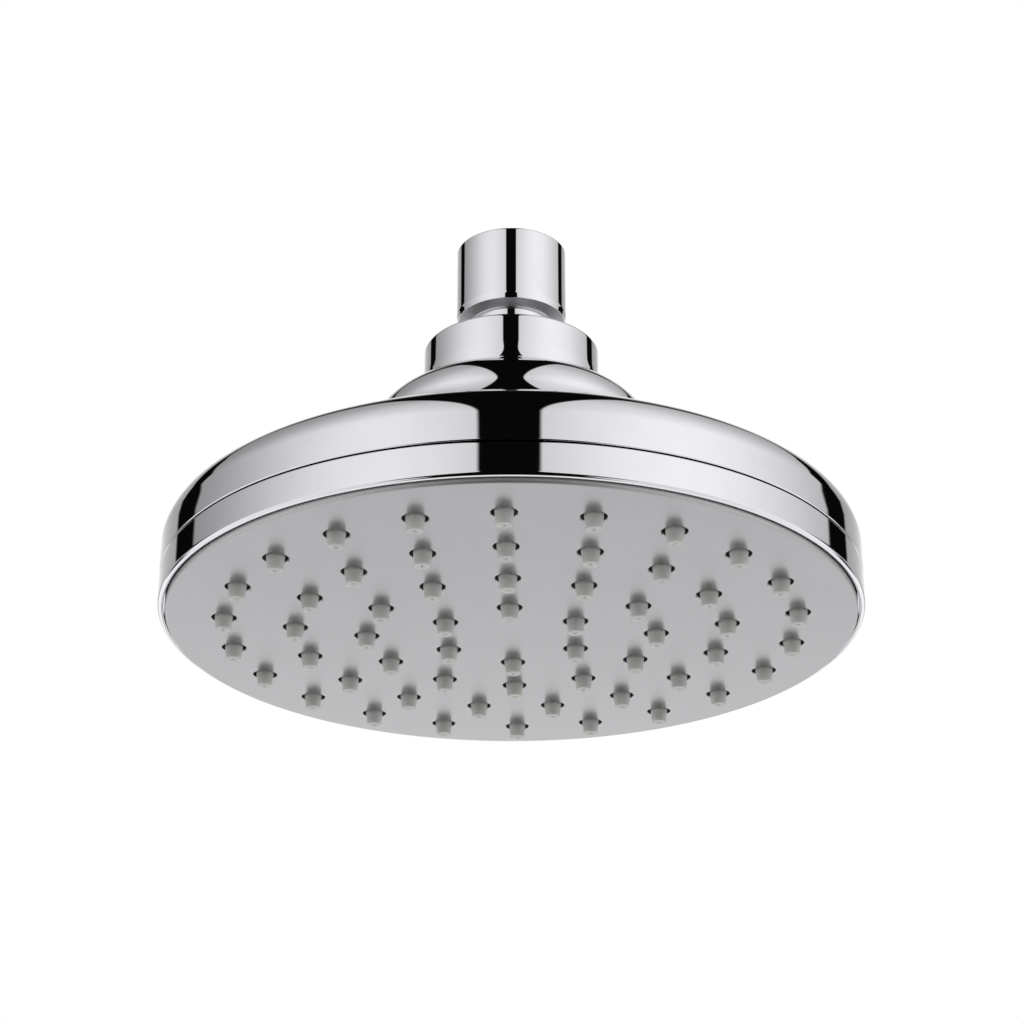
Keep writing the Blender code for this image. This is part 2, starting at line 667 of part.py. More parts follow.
def chamber_edge(inner_dome):
    """The water chamber's roof from the land inwards, from the dome's inner curve."""
    kept = [point for point in inner_dome if point[0] < LAND_INNER_RADIUS]
    last = kept[-1]
    beyond = inner_dome[len(kept)]
    share = (LAND_INNER_RADIUS - last[0]) / (beyond[0] - last[0])
    edge = between(last, beyond, (share, share))
    return [edge] + kept[::-1]


def chamber_seal():
    """The O-ring in the land's groove."""
    centre = (SEAL_RADIUS, LAND_Z + SEAL_CORD_RADIUS - SEAL_SQUEEZE / 2)
    profile = corner(centre, SEAL_CORD_RADIUS - CLEARANCE / 2, 0, math.tau, SEAL_CORD_SIDES)
    return turned("chamber_seal", profile[:-1], LARGE_STEPS)


def rim_ring():
    """The band under the parting line: lip, seat for the plate's edge, and tongue."""
    low = (HEAD_RADIUS - RIM_EDGE_ROUND, RIM_Z + RIM_EDGE_ROUND)
    lip = HEAD_RADIUS - RIM_LIP_WIDTH
    seat_z = RIM_Z + PLATE_WALL_HEIGHT + CLEARANCE
    profile = [
        (HEAD_RADIUS - RIM_TOP_ROUND, PARTING_Z),
        (HEAD_RADIUS, PARTING_Z - RIM_TOP_ROUND),
    ]
    profile += corner(low, RIM_EDGE_ROUND, math.pi / 2, math.pi)
    profile += [
        (lip + RIM_TOP_ROUND, RIM_Z),
        (lip, RIM_Z + RIM_TOP_ROUND),
        (lip, seat_z),
        (TONGUE_INNER_RADIUS, seat_z),
        (TONGUE_INNER_RADIUS, TONGUE_TOP_Z),
        (TONGUE_OUTER_RADIUS, TONGUE_TOP_Z),
        (TONGUE_OUTER_RADIUS, PARTING_Z),
    ]
    return turned("rim_ring", profile, LARGE_STEPS)


def face_plate():
    """The satin sheet that shows: dished, pierced for the nozzles, edge turned up."""
    wall_top_z = RIM_Z + PLATE_WALL_HEIGHT
    edge_z = RIM_Z - PLATE_EDGE_DROP
    inner = PLATE_RADIUS - PLATE_THICKNESS
    bend = PLATE_RADIUS - PLATE_EDGE_ROUND
    profile = dished(PLATE_THICKNESS, bend)
    profile += [
        (inner, edge_z + PLATE_EDGE_ROUND),
        (inner, wall_top_z),
        (PLATE_RADIUS, wall_top_z),
    ]
    centre = (bend, edge_z + PLATE_EDGE_ROUND)
    profile += corner(centre, PLATE_EDGE_ROUND, math.pi / 2, math.pi, 3)[:-1]
    profile += dished(0, bend)[::-1]
    obj = turned("face_plate", profile, LARGE_STEPS, closed=False)
    places = nozzle_places(-CUT_OVERRUN, PLATE_THICKNESS + CUT_OVERRUN)
    holes = pegs("plate_holes", places, PLATE_HOLE_RADIUS, PLATE_HOLE_RADIUS, NOZZLE_SIDES)
    combine(obj, holes, "DIFFERENCE")
    return obj


def nozzle_mat():
    """One soft sheet behind the plate, with a hollow tapered nozzle through each hole."""
    sheet_low = PLATE_THICKNESS + CLEARANCE
    sheet_high = sheet_low + MAT_THICKNESS
    profile = dished(sheet_high, MAT_RADIUS) + dished(sheet_low, MAT_RADIUS)[::-1]
    obj = turned("nozzle_mat", profile, LARGE_STEPS, closed=False)
    root = sheet_low + MAT_THICKNESS / 2
    cones = pegs("nozzle_cones", nozzle_places(-NOZZLE_REACH, root), NOZZLE_TIP_RADIUS,
                 NOZZLE_BASE_RADIUS, NOZZLE_SIDES)
    combine(obj, cones, "UNION")
    bore_places = nozzle_places(-NOZZLE_REACH - CUT_OVERRUN, sheet_high + CUT_OVERRUN)
    bores = pegs("nozzle_bores", bore_places, NOZZLE_BORE_RADIUS, NOZZLE_INTAKE_RADIUS,
                 NOZZLE_BORE_SIDES)
    combine(obj, bores, "DIFFERENCE")
    return obj


def backing_plate():
    """The rigid plate that presses the mat on the face and closes the water chamber."""
    low = PLATE_THICKNESS + CLEARANCE + MAT_THICKNESS + CLEARANCE
    high = low + BACKING_THICKNESS
    inner_edge = LAND_INNER_RADIUS - CLEARANCE
    step = MAT_RADIUS + CLEARANCE
    profile = dished(high, inner_edge)
    profile += [
        (inner_edge, FLANGE_TOP_Z),
        (LAND_OUTER_RADIUS, FLANGE_TOP_Z),
        (LAND_OUTER_RADIUS, FLANGE_BOTTOM_Z),
        (step, FLANGE_BOTTOM_Z),
    ]
    profile += dished(low, step)[::-1]
    obj = turned("backing_plate", profile, LARGE_STEPS, closed=False)
    places = nozzle_places(low - CUT_OVERRUN, high + CUT_OVERRUN)
    holes = pegs("backing_holes", places, BACKING_HOLE_RADIUS, BACKING_HOLE_RADIUS,
                 BACKING_HOLE_SIDES)
    combine(obj, holes, "DIFFERENCE")
    screw_holes = []
    for angle in screw_places():
        x = SCREW_CIRCLE_RADIUS * math.cos(angle)
        y = SCREW_CIRCLE_RADIUS * math.sin(angle)
        low_z = FLANGE_BOTTOM_Z - CUT_OVERRUN
        screw_holes.append((x, y, low_z, FLANGE_TOP_Z + CUT_OVERRUN))
    holes = pegs("flange_holes", screw_holes, SCREW_HOLE_RADIUS, SCREW_HOLE_RADIUS,
                 ROUND_HOLE_SIDES)
    combine(obj, holes, "DIFFERENCE")
    return obj


def cover_screws():
    """Pan-head screws with a cross recess, heads down, all round the flange."""
    round_centre = (SCREW_HEAD_RADIUS - SCREW_HEAD_ROUND, SCREW_HEAD_ROUND - SCREW_HEAD_HEIGHT)
    profile = [
        (0, SCREW_LENGTH),
        (SCREW_POINT_RADIUS, SCREW_LENGTH),
        (SCREW_SHANK_RADIUS, SCREW_LENGTH - SCREW_POINT_LENGTH),
        (SCREW_SHANK_RADIUS, 0),
        (SCREW_HEAD_RADIUS, 0),
    ]
    profile += corner(round_centre, SCREW_HEAD_ROUND, math.pi / 2, math.pi, 1)
    profile.append((0, -SCREW_HEAD_HEIGHT))
    pattern = turned("cover_screw_1", profile, SCREW_SIDES, closed=False)
    half_length = SCREW_SLOT_LENGTH / 2
    half_width = SCREW_SLOT_WIDTH / 2
    low = -SCREW_HEAD_HEIGHT - CUT_OVERRUN
    high = SCREW_SLOT_DEPTH - SCREW_HEAD_HEIGHT
    along = blocks("recess_along", [((-half_length, -half_width, low),
                                     (half_length, half_width, high))])
    across = blocks("recess_across", [((-half_width, -half_length, low),
                                       (half_width, half_length, high))])
    combine(pattern, along, "DIFFERENCE")
    combine(pattern, across, "DIFFERENCE")
    baked(pattern)
    for cutter in (along, across):
        bpy.data.objects.remove(cutter, do_unlink=True)
    screws = [pattern]
    for i in range(1, SCREW_COUNT):
        screw = bpy.data.objects.new(f"cover_screw_{i + 1}", pattern.data)
        PARTS.objects.link(screw)
        screws.append(screw)
    for screw, angle in zip(screws, screw_places()):
        screw.location = (SCREW_CIRCLE_RADIUS * math.cos(angle),
                          SCREW_CIRCLE_RADIUS * math.sin(angle), SCREW_SEAT_Z)
        screw.rotation_euler = (0, 0, angle)
    return screws


def build():
    chrome = new_material("chrome plating", (0.80, 0.81, 0.82), 1.0, 0.05)
    satin = new_material("satin steel", (0.50, 0.51, 0.52), 1.0, 0.32)
    silicone = new_material("grey silicone", (0.36, 0.37, 0.38), 0.0, 0.50)
    rubber = new_material("black rubber", (0.02, 0.02, 0.02), 0.0, 0.60)
    nylon = new_material("white nylon", (0.80, 0.80, 0.77), 0.0, 0.40)
    moulding = new_material("black moulding", (0.04, 0.04, 0.04), 0.0, 0.45)
    steel = new_material("plain steel", (0.60, 0.60, 0.60), 1.0, 0.28)

    swivel = new_pivot("swivel_pivot", None, BALL_Z)
    tilt = new_pivot("tilt_pivot", swivel, 0)
    spin = new_pivot("spin_pivot", tilt, 0)

    add_part(inlet_connector(), chrome)
    add_part(inlet_washer(), rubber)
    add_part(inlet_strainer(), steel)
    add_part(flow_limiter(), nylon, swivel)
    add_part(ball_seal(), rubber, tilt)
    add_part(seal_backing_ring(), steel, tilt)
    add_part(split_ring(), nylon, spin)
    add_part(collar_nut(), chrome, spin)
    add_part(body_shell(), chrome, spin)
    add_part(chamber_seal(), rubber, spin)
    add_part(rim_ring(), chrome, spin)
    add_part(face_plate(), satin, spin)
    add_part(nozzle_mat(), silicone, spin)
    add_part(backing_plate(), moulding, spin)
    for screw in cover_screws():
        add_part(screw, steel, spin)


clear_scene()
PARTS = new_collection("shower head")
CUTTERS = new_collection("cutters")
build()
bpy.context.view_layer.update()
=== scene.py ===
import math

import bmesh
import bpy
import numpy as np
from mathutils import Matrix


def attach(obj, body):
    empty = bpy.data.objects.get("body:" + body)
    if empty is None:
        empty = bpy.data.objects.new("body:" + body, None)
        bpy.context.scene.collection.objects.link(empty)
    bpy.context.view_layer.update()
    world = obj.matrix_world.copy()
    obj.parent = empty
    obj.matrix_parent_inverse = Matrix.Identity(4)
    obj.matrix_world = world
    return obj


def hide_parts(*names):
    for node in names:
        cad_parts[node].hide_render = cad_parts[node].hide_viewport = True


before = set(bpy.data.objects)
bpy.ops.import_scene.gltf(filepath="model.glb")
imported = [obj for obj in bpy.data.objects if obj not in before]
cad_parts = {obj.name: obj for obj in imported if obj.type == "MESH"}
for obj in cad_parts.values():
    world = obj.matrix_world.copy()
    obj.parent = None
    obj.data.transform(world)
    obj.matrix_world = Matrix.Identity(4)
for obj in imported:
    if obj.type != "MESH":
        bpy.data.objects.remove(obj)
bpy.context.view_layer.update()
print("frame loaded with", len(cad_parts), "nodes")

mm = 0.001  # the sizes below are in millimetres
mergeDistance = 1e-7  # metres: points closer than this become one
sharpAngle = 28  # degrees: edges that turn more than this stay sharp


# Camera

photoCamera = {
    "distance": 538.6,  # from the middle of the rim's lower edge
    "below": 21.828,  # degrees under the horizontal
    "lookUp": 24.379,
    "focalPixels": 2520.5,
    "imageWidth": 1024,
    "sensor": 36.0,
    "shiftX": 0.0006,
    "rimHeight": 5.364,
}


def placeCamera(values):
    lens = bpy.data.cameras.new("photoCamera")
    lens.sensor_width = values["sensor"]
    lens.lens = values["focalPixels"] * values["sensor"] / values["imageWidth"]
    lens.shift_x = values["shiftX"]
    camera = bpy.data.objects.new("photoCamera", lens)
    below = math.radians(values["below"])
    camera.location = (
        0,
        -values["distance"] * math.cos(below) * mm,
        (values["rimHeight"] - values["distance"] * math.sin(below)) * mm,
    )
    camera.rotation_euler = (math.radians(90 + values["lookUp"]), 0, 0)
    bpy.context.scene.collection.objects.link(camera)
    bpy.context.scene.camera = camera


placeCamera(photoCamera)


# Meshes

def gridMesh(name, points, wrapRows=True, wrapColumns=True, capEnds=False):
    # points[item, row, column, xyz]: each quad joins a point with those of the next row and column
    items, rows, columns = points.shape[:3]
    index = np.arange(items * rows * columns).reshape(items, rows, columns)
    below = np.roll(index, -1, axis=1)
    corners = (index, below, np.roll(below, -1, axis=2), np.roll(index, -1, axis=2))
    quads = np.stack(corners, axis=-1)
    if not wrapRows:
        quads = quads[:, :-1]
    if not wrapColumns:
        quads = quads[:, :, :-1]
    quads = quads.reshape(-1, 4).astype(np.int32)
    mesh = bpy.data.meshes.new(name)
    mesh.vertices.add(index.size)
    mesh.vertices.foreach_set("co", (points * mm).astype(np.float32).ravel())
    mesh.loops.add(quads.size)
    mesh.loops.foreach_set("vertex_index", quads.ravel())
    mesh.polygons.add(len(quads))
    mesh.polygons.foreach_set("loop_start", np.arange(0, quads.size, 4, dtype=np.int32))
    mesh.update(calc_edges=True)
    shape = bmesh.new()
    shape.from_mesh(mesh)
    bmesh.ops.remove_doubles(shape, verts=shape.verts, dist=mergeDistance)  # closes the poles
    if capEnds:
        bareEdges = [edge for edge in shape.edges if edge.is_boundary]
        bmesh.ops.holes_fill(shape, edges=bareEdges, sides=0)
    shape.to_mesh(mesh)
    shape.free()
    mesh.shade_smooth()
    mesh.set_sharp_from_angle(angle=math.radians(sharpAngle))
    piece = bpy.data.objects.new(name, mesh)
    bpy.context.scene.collection.objects.link(piece)
    return piece


def rounded(corners, steps=8, flat=1.25):
    # corners (radius, height, round): an arc that touches both sides takes a corner's place;
    # its centre is the corner + round / sin(half the corner's angle) along the middle line, and
    # its points are centre + (sin((1 - t) turn) first + sin(t turn) last) / sin(turn);
    # one more point on each side, flat times as far from the corner, keeps the flats flat
    corners = np.array([(*corner, 0)[:3] for corner in corners], float)
    spots = corners[:, :2]
    toLast = np.roll(spots, 1, axis=0) - spots
    toNext = np.roll(spots, -1, axis=0) - spots
    share = np.linspace(0, 1, steps + 1)[:, None]
    line = []
    for spot, back, on, size in zip(spots, toLast, toNext, corners[:, 2]):
        if size == 0:
            line.append(spot[None])
            continue
        backLength, onLength = np.hypot(*back), np.hypot(*on)
        back, on = back / backLength, on / onLength
        half = math.acos(np.clip(back @ on, -1, 1)) / 2
        cut = size / math.tan(half)
        middle = (back + on) / np.hypot(*(back + on))
        centre = spot + middle * size / math.sin(half)
        first, last = spot + back * cut - centre, spot + on * cut - centre
        turn = math.pi - 2 * half
        sweep = np.sin((1 - share) * turn) * first + np.sin(share * turn) * last
        line.append(spot[None] + back * min(cut * flat, (cut + backLength) / 2))
        line.append(centre + sweep / math.sin(turn))
        line.append(spot[None] + on * min(cut * flat, (cut + onLength) / 2))
    return np.vstack(line)


def curve(start, first, second, end, steps):
    # cubic Bezier through (radius, height) points, with s = 1 - t:
    # s cubed start + 3 s squared t first + 3 s t squared second + t cubed end
    t = np.linspace(0, 1, steps + 1)[:, None]
    start, first, second, end = (np.array(point, float) for point in (start, first, second, end))
    return (1 - t) ** 3 * start + 3 * (1 - t) ** 2 * t * first + 3 * (1 - t) * t * t * second + t ** 3 * end


def arc(radius, centre, angle):
    # (radius, height) = (R sin a, centre + R cos a), angles from the top of a ball
    return np.stack([radius * np.sin(angle), centre + radius * np.cos(angle)], axis=-1)


def ringPlaces(radius, angle):
    # x = r cos a, y = r sin a, z = 0
    return np.stack([radius * np.cos(angle), radius * np.sin(angle), 0 * angle], axis=-1)


def drill(radius, top, bottom):
    # a plain cylinder's outline, from axis to axis
    return np.array([(0, top), (radius, top), (radius, bottom), (0, bottom)])


def turned(name, outline, steps, closed=True, grow=None):
    # each (radius, height) of the outline goes round the axis: x = radius cos a, y = radius sin a;
    # grow(radius, height, a) adds to the radius
    angle = np.linspace(0, 2 * np.pi, steps, endpoint=False)[None, :]
    radius = outline[:, :1] + 0 * angle
    height = outline[:, 1:] + 0 * angle
    if grow is not None:
        radius = radius + grow(radius, height, angle)
    points = np.stack([radius * np.cos(angle), radius * np.sin(angle), height], axis=-1)
    return gridMesh(name, points[None], wrapRows=closed)


def pins(name, outline, places, sides):
    # the outline, from axis to axis, turned about every place (x, y, z) at once:
    # x = place x + radius cos a, y = place y + radius sin a, z = place z + height
    angle = np.linspace(0, 2 * np.pi, sides, endpoint=False)
    ring = np.stack([np.cos(angle), np.sin(angle)], axis=-1)
    points = np.empty((len(places), len(outline), sides, 3))
    points[..., :2] = places[:, None, None, :2] + outline[None, :, None, :1] * ring
    points[..., 2] = places[:, None, None, 2] + outline[None, :, None, 1]
    return gridMesh(name, points, wrapRows=False)


def carve(piece, tool, operation):
    # joins a piece with a tool or cuts it, then drops the tool
    cut = piece.modifiers.new(tool.name, "BOOLEAN")
    cut.operation = operation
    cut.solver = "EXACT"
    cut.object = tool
    bpy.context.view_layer.update()
    made = bpy.data.meshes.new_from_object(piece.evaluated_get(bpy.context.evaluated_depsgraph_get()))
    piece.modifiers.clear()
    piece.data = made
    bpy.data.objects.remove(tool)
    made.shade_smooth()
    made.set_sharp_from_angle(angle=math.radians(sharpAngle))
    return piece


def fit(piece, node, body, material):
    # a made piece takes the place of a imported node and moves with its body
    piece.data.materials.clear()
    piece.data.materials.append(material)
    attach(piece, body)
    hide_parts(node)
    return piece


# Shader maths

class Wire:
    # one socket of a node tree: sums on it add Math nodes, and node() adds any other
    def __init__(self, tree, socket=None):
        self.tree = tree
        self.socket = socket

    def feed(self, target, value):
        # a wire is linked, one number fills a whole vector, and a colour of three gets its alpha
        if isinstance(value, Wire):
            self.tree.links.new(value.socket, target)
            return
        room = len(target.default_value) if hasattr(target.default_value, "__len__") else 0
        given = len(value) if hasattr(value, "__len__") else 0
        if room and not given:
            value = [value] * room
        elif given < room:
            value = (*value, 1)
        target.default_value = value

    def node(self, kind, settings=None, sockets=None, output=0):
        # the settings go in first, then the values or wires of the sockets
        made = self.tree.nodes.new(kind)
        for key, value in (settings or {}).items():
            setattr(made, key, value)
        for key, value in (sockets or {}).items():
            self.feed(made.inputs[key], value)
        return Wire(self.tree, made.outputs[output] if len(made.outputs) else None)

    def maths(self, operation, first, second=0.0):
        return self.node("ShaderNodeMath", {"operation": operation}, {0: first, 1: second})

    def __add__(self, other):
        return self.maths("ADD", self, other)

    def __sub__(self, other):
        return self.maths("SUBTRACT", self, other)

    def __rsub__(self, other):
        return self.maths("SUBTRACT", other, self)

    def __mul__(self, other):
        return self.maths("MULTIPLY", self, other)

    def __truediv__(self, other):
        return self.maths("DIVIDE", self, other)

    def __rtruediv__(self, other):
        return self.maths("DIVIDE", other, self)

    def __pow__(self, other):
        return self.maths("POWER", self, other)

    def __rpow__(self, other):
        return self.maths("POWER", other, self)

    def __abs__(self):
        return self.maths("ABSOLUTE", self)

    def __neg__(self):
        return self.maths("MULTIPLY", self, -1.0)

    __radd__ = __add__
    __rmul__ = __mul__

    def over(self, other):
        # the greater of the two
        return self.maths("MAXIMUM", self, other)

    def ease(self, low, high):
        # 0 below low, 1 above high, with a soft start and end
        values = {"Value": self, "From Min": low, "From Max": high}
        return self.node("ShaderNodeMapRange", {"interpolation_type": "SMOOTHSTEP"}, values)

    def ramp(self, low, high, fromValue, toValue):
        # a straight line from one value to the other, level outside low and high
        values = {"Value": self, "From Min": low, "From Max": high, "To Min": fromValue, "To Max": toValue}
        return self.node("ShaderNodeMapRange", {}, values)

    def bent(self, points):
        # straight lines through (value, result) points: the first result + one ramp for each slope
        (low, result), *rest = points
        total = result
        for high, nextResult in rest:
            if nextResult != result:
                total = total + self.ramp(low, high, 0.0, nextResult - result)
            low, result = high, nextResult
        return total

    def bell(self, middle, width):
        # exp(-((value - middle) / width) squared)
        away = (self - middle) / width
        return self.maths("EXPONENT", -(away * away))

    def blendTo(self, first, second):
        # colour between two, self being the share of the second
        return self.node("ShaderNodeMix", {"data_type": "RGBA"}, {0: self, 6: first, 7: second}, 2)

    def noise(self, scale, detail=2.0, roughness=0.5):
        values = {"Vector": self, "Scale": scale, "Detail": detail, "Roughness": roughness}
        return self.node("ShaderNodeTexNoise", {"noise_dimensions": "3D"}, values, "Fac")

    def bump(self, distance, strength=1.0):
        values = {"Height": self, "Distance": distance, "Strength": strength}
        return self.node("ShaderNodeBump", {}, values, "Normal")

    def parts(self):
        split = self.node("ShaderNodeSeparateXYZ", {}, {0: self})
        return [Wire(self.tree, socket) for socket in split.socket.node.outputs]


shaderSockets = {
    "colour": "Base Color",
    "metallic": "Metallic",
    "roughness": "Roughness",
    "normal": "Normal",
    "scatter": "Subsurface Weight",
    "scatterReach": "Subsurface Radius",
    "scatterScale": "Subsurface Scale",
}


def newMaterial(name):
    # gives the material, a setter for its shader's sockets and the piece's own coordinates
    material = bpy.data.materials.new(name)
    material.use_nodes = True
    shader = material.node_tree.nodes["Principled BSDF"]
    start = Wire(material.node_tree)

    def paint(**values):
        for key, value in values.items():
            start.feed(shader.inputs[shaderSockets[key]], value)

    return material, paint, start.node("ShaderNodeTexCoord", {}, {}, "Object")


# Finishes: a noise is (scale, detail, roughness), a share is where it starts and where it is full,
# a bump's height is in metres, and so are the places on a piece

chromeLook = {
    "colour": (0.885, 0.886, 0.915),
    "hazeColour": (0.858, 0.859, 0.885),
    "hazeNoise": (140.0, 3.0, 0.6),
    "hazeShare": (0.45, 0.75),
    "roughness": 0.02,
    "hazeRoughness": 0.02,  # added where the plating is hazed
    "rippleNoise": (85.0, 1.0),
    "ripple": 0.000012,
}

inletLook = {
    "socketRadius": (0.01160, 0.01100),
    "socketFloor": (0.0818, 0.0826),
    "socketMouth": (0.0962, 0.0952),
    "wearNoise": (420.0, 4.0, 0.6),
    "wearShare": (0.38, 0.62),
    "brass": (0.63, 0.46, 0.22),
    "socketRoughness": 0.16,
    "dullTop": (0.07836, 0.07828),
    "dullBottom": (0.07746, 0.07758),
    "dullRadius": (0.00950, 0.00962),
    "dull": (0.50, 0.50, 0.51),
    "dullRoughness": 0.38,
}


def platedChrome(name, values, inlet=None):
    material, paint, place = newMaterial(name)
    haze = place.noise(*values["hazeNoise"]).ease(*values["hazeShare"])
    colour = haze.blendTo(values["colour"], values["hazeColour"])
    roughness = haze * values["hazeRoughness"] + values["roughness"]
    if inlet:
        # plating thins out down the threaded socket and the brass shows on the crests
        x, y, z = place.parts()
        reach = (x * x + y * y) ** 0.5
        inside = reach.ease(*inlet["socketRadius"]) * z.ease(*inlet["socketFloor"])
        inside = inside * z.ease(*inlet["socketMouth"])
        worn = inside * place.noise(*inlet["wearNoise"]).ease(*inlet["wearShare"])
        colour = worn.blendTo(colour, inlet["brass"])
        roughness = roughness + inside * inlet["socketRoughness"]
        # the turned underside over the neck stays dull
        dull = z.ease(*inlet["dullTop"]) * z.ease(*inlet["dullBottom"]) * reach.ease(*inlet["dullRadius"])
        colour = dull.blendTo(colour, inlet["dull"])
        roughness = roughness + dull * inlet["dullRoughness"]
    ripple = place.noise(*values["rippleNoise"])
    paint(colour=colour, metallic=1.0, roughness=roughness, normal=ripple.bump(values["ripple"]))
    return material


faceLook = {
    "light": (0.474, 0.473, 0.488),
    "dark": (0.444, 0.443, 0.457),
    "cloudNoise": (55.0, 4.0, 0.6),
    "grainNoise": (5200.0, 2.0),
    "toneShare": (0.3, 0.7),
    "cloudPart": 0.6,  # of the tone, the grain makes the rest
    "grainPart": 0.4,
    "roughness": 0.23,
    "mottle": 0.05,
    "grain": 0.0000022,
    "edge": (0.60, 0.60, 0.61),
    "edgeStart": 72.85,  # millimetres, as the sizes are
    "edgeWidth": 0.6,
    "edgeRoughness": 0.22,
}


def satinPlate(name, values):
    material, paint, place = newMaterial(name)
    clouds = place.noise(*values["cloudNoise"])
    grain = place.noise(*values["grainNoise"])
    share = values["toneShare"]
    tone = clouds.ease(*share) * values["cloudPart"] + grain.ease(*share) * values["grainPart"]
    colour = tone.blendTo(values["dark"], values["light"])
    roughness = values["roughness"] + values["mottle"] * clouds
    # the turned-up edge is paler and duller than the flat
    x, y, z = place.parts()
    start = values["edgeStart"]
    rim = ((x * x + y * y) ** 0.5).ease(start * mm, (start + values["edgeWidth"]) * mm)
    colour = rim.blendTo(colour, values["edge"])
    roughness = roughness + rim * values["edgeRoughness"]
    paint(colour=colour, metallic=1.0, roughness=roughness, normal=grain.bump(values["grain"]))
    return material


siliconeLook = {
    # painted light: the tips are a shade paler than the sides, standing in for light through the silicone
    "tip": (0.94, 0.925, 0.89),
    "side": (0.94, 0.92, 0.88),
    # painted shade: near-black colour for the silicone in the holes and behind the plate, where shade falls
    "behind": (0.12, 0.117, 0.113),
    "cloudNoise": (900.0, 3.0, 0.55),
    "cloudShift": 0.0006,
    "paintedTipLightStart": (-0.0006, -0.0026),  # under the plate's outside
    "behindStart": (0.0001, 0.0009),  # over it
    "roughness": 0.34,
    "mottle": 0.16,
    "grainNoise": (6000.0, 2.0),
    "grain": 0.000004,
    "scatter": 0.6,
    "scatterReach": (1.0, 0.93, 0.82),
    "scatterScale": 0.0014,
}


def softSilicone(name, values, face):
    # the plate's outside is the bowl of dishHeight, written with shader nodes
    material, paint, place = newMaterial(name)
    x, y, z = place.parts()
    share = (x * x + y * y) / (face["radius"] * mm) ** 2
    middle = (face["rimHeight"] - face["centreDrop"]) * mm
    above = z - (middle + share * ((face["centreDrop"] - face["edgeDrop"]) * mm))
    cloud = place.noise(*values["cloudNoise"])
    # painted light: the colour pales towards the tips, as if lit through the translucent silicone
    paintedTipLight = (above + (cloud - 0.5) * values["cloudShift"]).ease(*values["paintedTipLightStart"])
    side = paintedTipLight.blendTo(values["side"], values["tip"])
    # painted shade: the silicone over the plate's outside is darkened, standing in for the shade in the
    # holes and in the gap behind the plate
    paintedShadeMask = above.ease(*values["behindStart"])
    paint(
        colour=paintedShadeMask.blendTo(side, values["behind"]),
        roughness=cloud * values["mottle"] + values["roughness"],
        normal=place.noise(*values["grainNoise"]).bump(values["grain"]),
        scatter=values["scatter"],
        scatterReach=values["scatterReach"],
        scatterScale=values["scatterScale"],
    )
    return material


rubberLook = {
    "black": (0.018, 0.018, 0.019),
    "bloom": (0.055, 0.055, 0.057),
    "bloomNoise": (700.0, 4.0, 0.6),
    "bloomShare": (0.4, 0.8),
    "roughness": 0.5,
    "mottle": 0.2,
    "grainNoise": (9000.0, 2.0),
    "grain": 0.000006,
}


def blackRubber(name, values):
    material, paint, place = newMaterial(name)
    bloom = place.noise(*values["bloomNoise"]).ease(*values["bloomShare"])
    paint(
        colour=bloom.blendTo(values["black"], values["bloom"]),
        roughness=bloom * values["mottle"] + values["roughness"],
        normal=place.noise(*values["grainNoise"]).bump(values["grain"]),
    )
    return material


nylonLook = {
    "cream": (0.76, 0.75, 0.70),
    "white": (0.84, 0.83, 0.80),
    "flowNoise": (260.0, 3.0, 0.5),
    "roughness": 0.33,
    "mottle": 0.14,
    "grainNoise": (7000.0, 2.0),
    "grain": 0.000003,
}


def whiteNylon(name, values):
    material, paint, place = newMaterial(name)
    flow = place.noise(*values["flowNoise"])
    paint(
        colour=flow.blendTo(values["cream"], values["white"]),
        roughness=flow * values["mottle"] + values["roughness"],
        normal=place.noise(*values["grainNoise"]).bump(values["grain"]),
    )
    return material


mouldingLook = {
    "dark": (0.030, 0.030, 0.031),
    "light": (0.050, 0.050, 0.052),
    "grainNoise": (4200.0, 3.0, 0.6),
    "roughness": 0.38,
    "mottle": 0.15,
    "grain": 0.000012,
}


def blackMoulding(name, values):
    material, paint, place = newMaterial(name)
    grain = place.noise(*values["grainNoise"])
    paint(
        colour=grain.blendTo(values["dark"], values["light"]),
        roughness=grain * values["mottle"] + values["roughness"],
        normal=grain.bump(values["grain"]),
    )
    return material


steelLook = {
    "dark": (0.50, 0.50, 0.50),
    "light": (0.66, 0.66, 0.665),
    "stretch": (1.0, 1.0, 14.0),  # turning marks lie flat
    "lineNoise": (2400.0, 3.0, 0.7),
    "roughness": 0.2,
    "mottle": 0.18,
    "grain": 0.000003,
}


def plainSteel(name, values):
    material, paint, place = newMaterial(name)
    stretched = place.node("ShaderNodeMapping", {}, {"Vector": place, "Scale": values["stretch"]})
    lines = stretched.noise(*values["lineNoise"])
    paint(
        colour=lines.blendTo(values["dark"], values["light"]),
        metallic=1.0,
        roughness=lines * values["mottle"] + values["roughness"],
        normal=lines.bump(values["grain"]),
    )
    return material


# Inlet fitting: pipe socket, bevelled foot, neck, stem and ball in one turned piece

inletSizes = {
    "radius": 12.35,
    "top": 96.0635,
    "topRound": 0.4,
    "bottom": 78.35,
    "footHeight": 1.35,
    "footWidth": 0.3,
    "footRound": 3.0,
    "taperHeight": 0.8,
    "taperRound": 0.1,
    "neck": 9.5,
    "neckHeight": 3.0,
    "neckRound": 0.2,
    "stem": 7.2,
    "stemRound": 0.5,
    "ballCentre": 60.464,
    "ball": 11.6,
    "ballFlat": 9.4,
    "ballRows": 60,
    "bore": 4.6,
    "boreRound": 0.3,
    "recess": 6.5,
    "recessFloor": 79.664,
    "socket": 9.3,
    "socketFloor": 82.364,
    "floorRound": 0.1,
    "chamfer": 0.5,
    "chamferRound": 0.08,
    "threadPitch": 1.814,  # 14 threads to the inch
    "threadDepth": 1.1,
    "threadPower": 0.8,  # under 1 makes the crests narrower than the grooves
    "threadStart": 86.2,
    "threadFadeIn": 0.8,
    "threadEnd": 0.25,  # under the top
    "threadFadeOut": 0.5,
    "threadRows": 18,  # to one pitch
    "wallStart": 0.6,  # over the socket's floor
    "wallEnd": 0.02,  # under the chamfer
    "wallNear": 0.01,  # from the socket's radius
    "wallOver": 0.1,  # from the socket's floor
    "steps": 288,
}


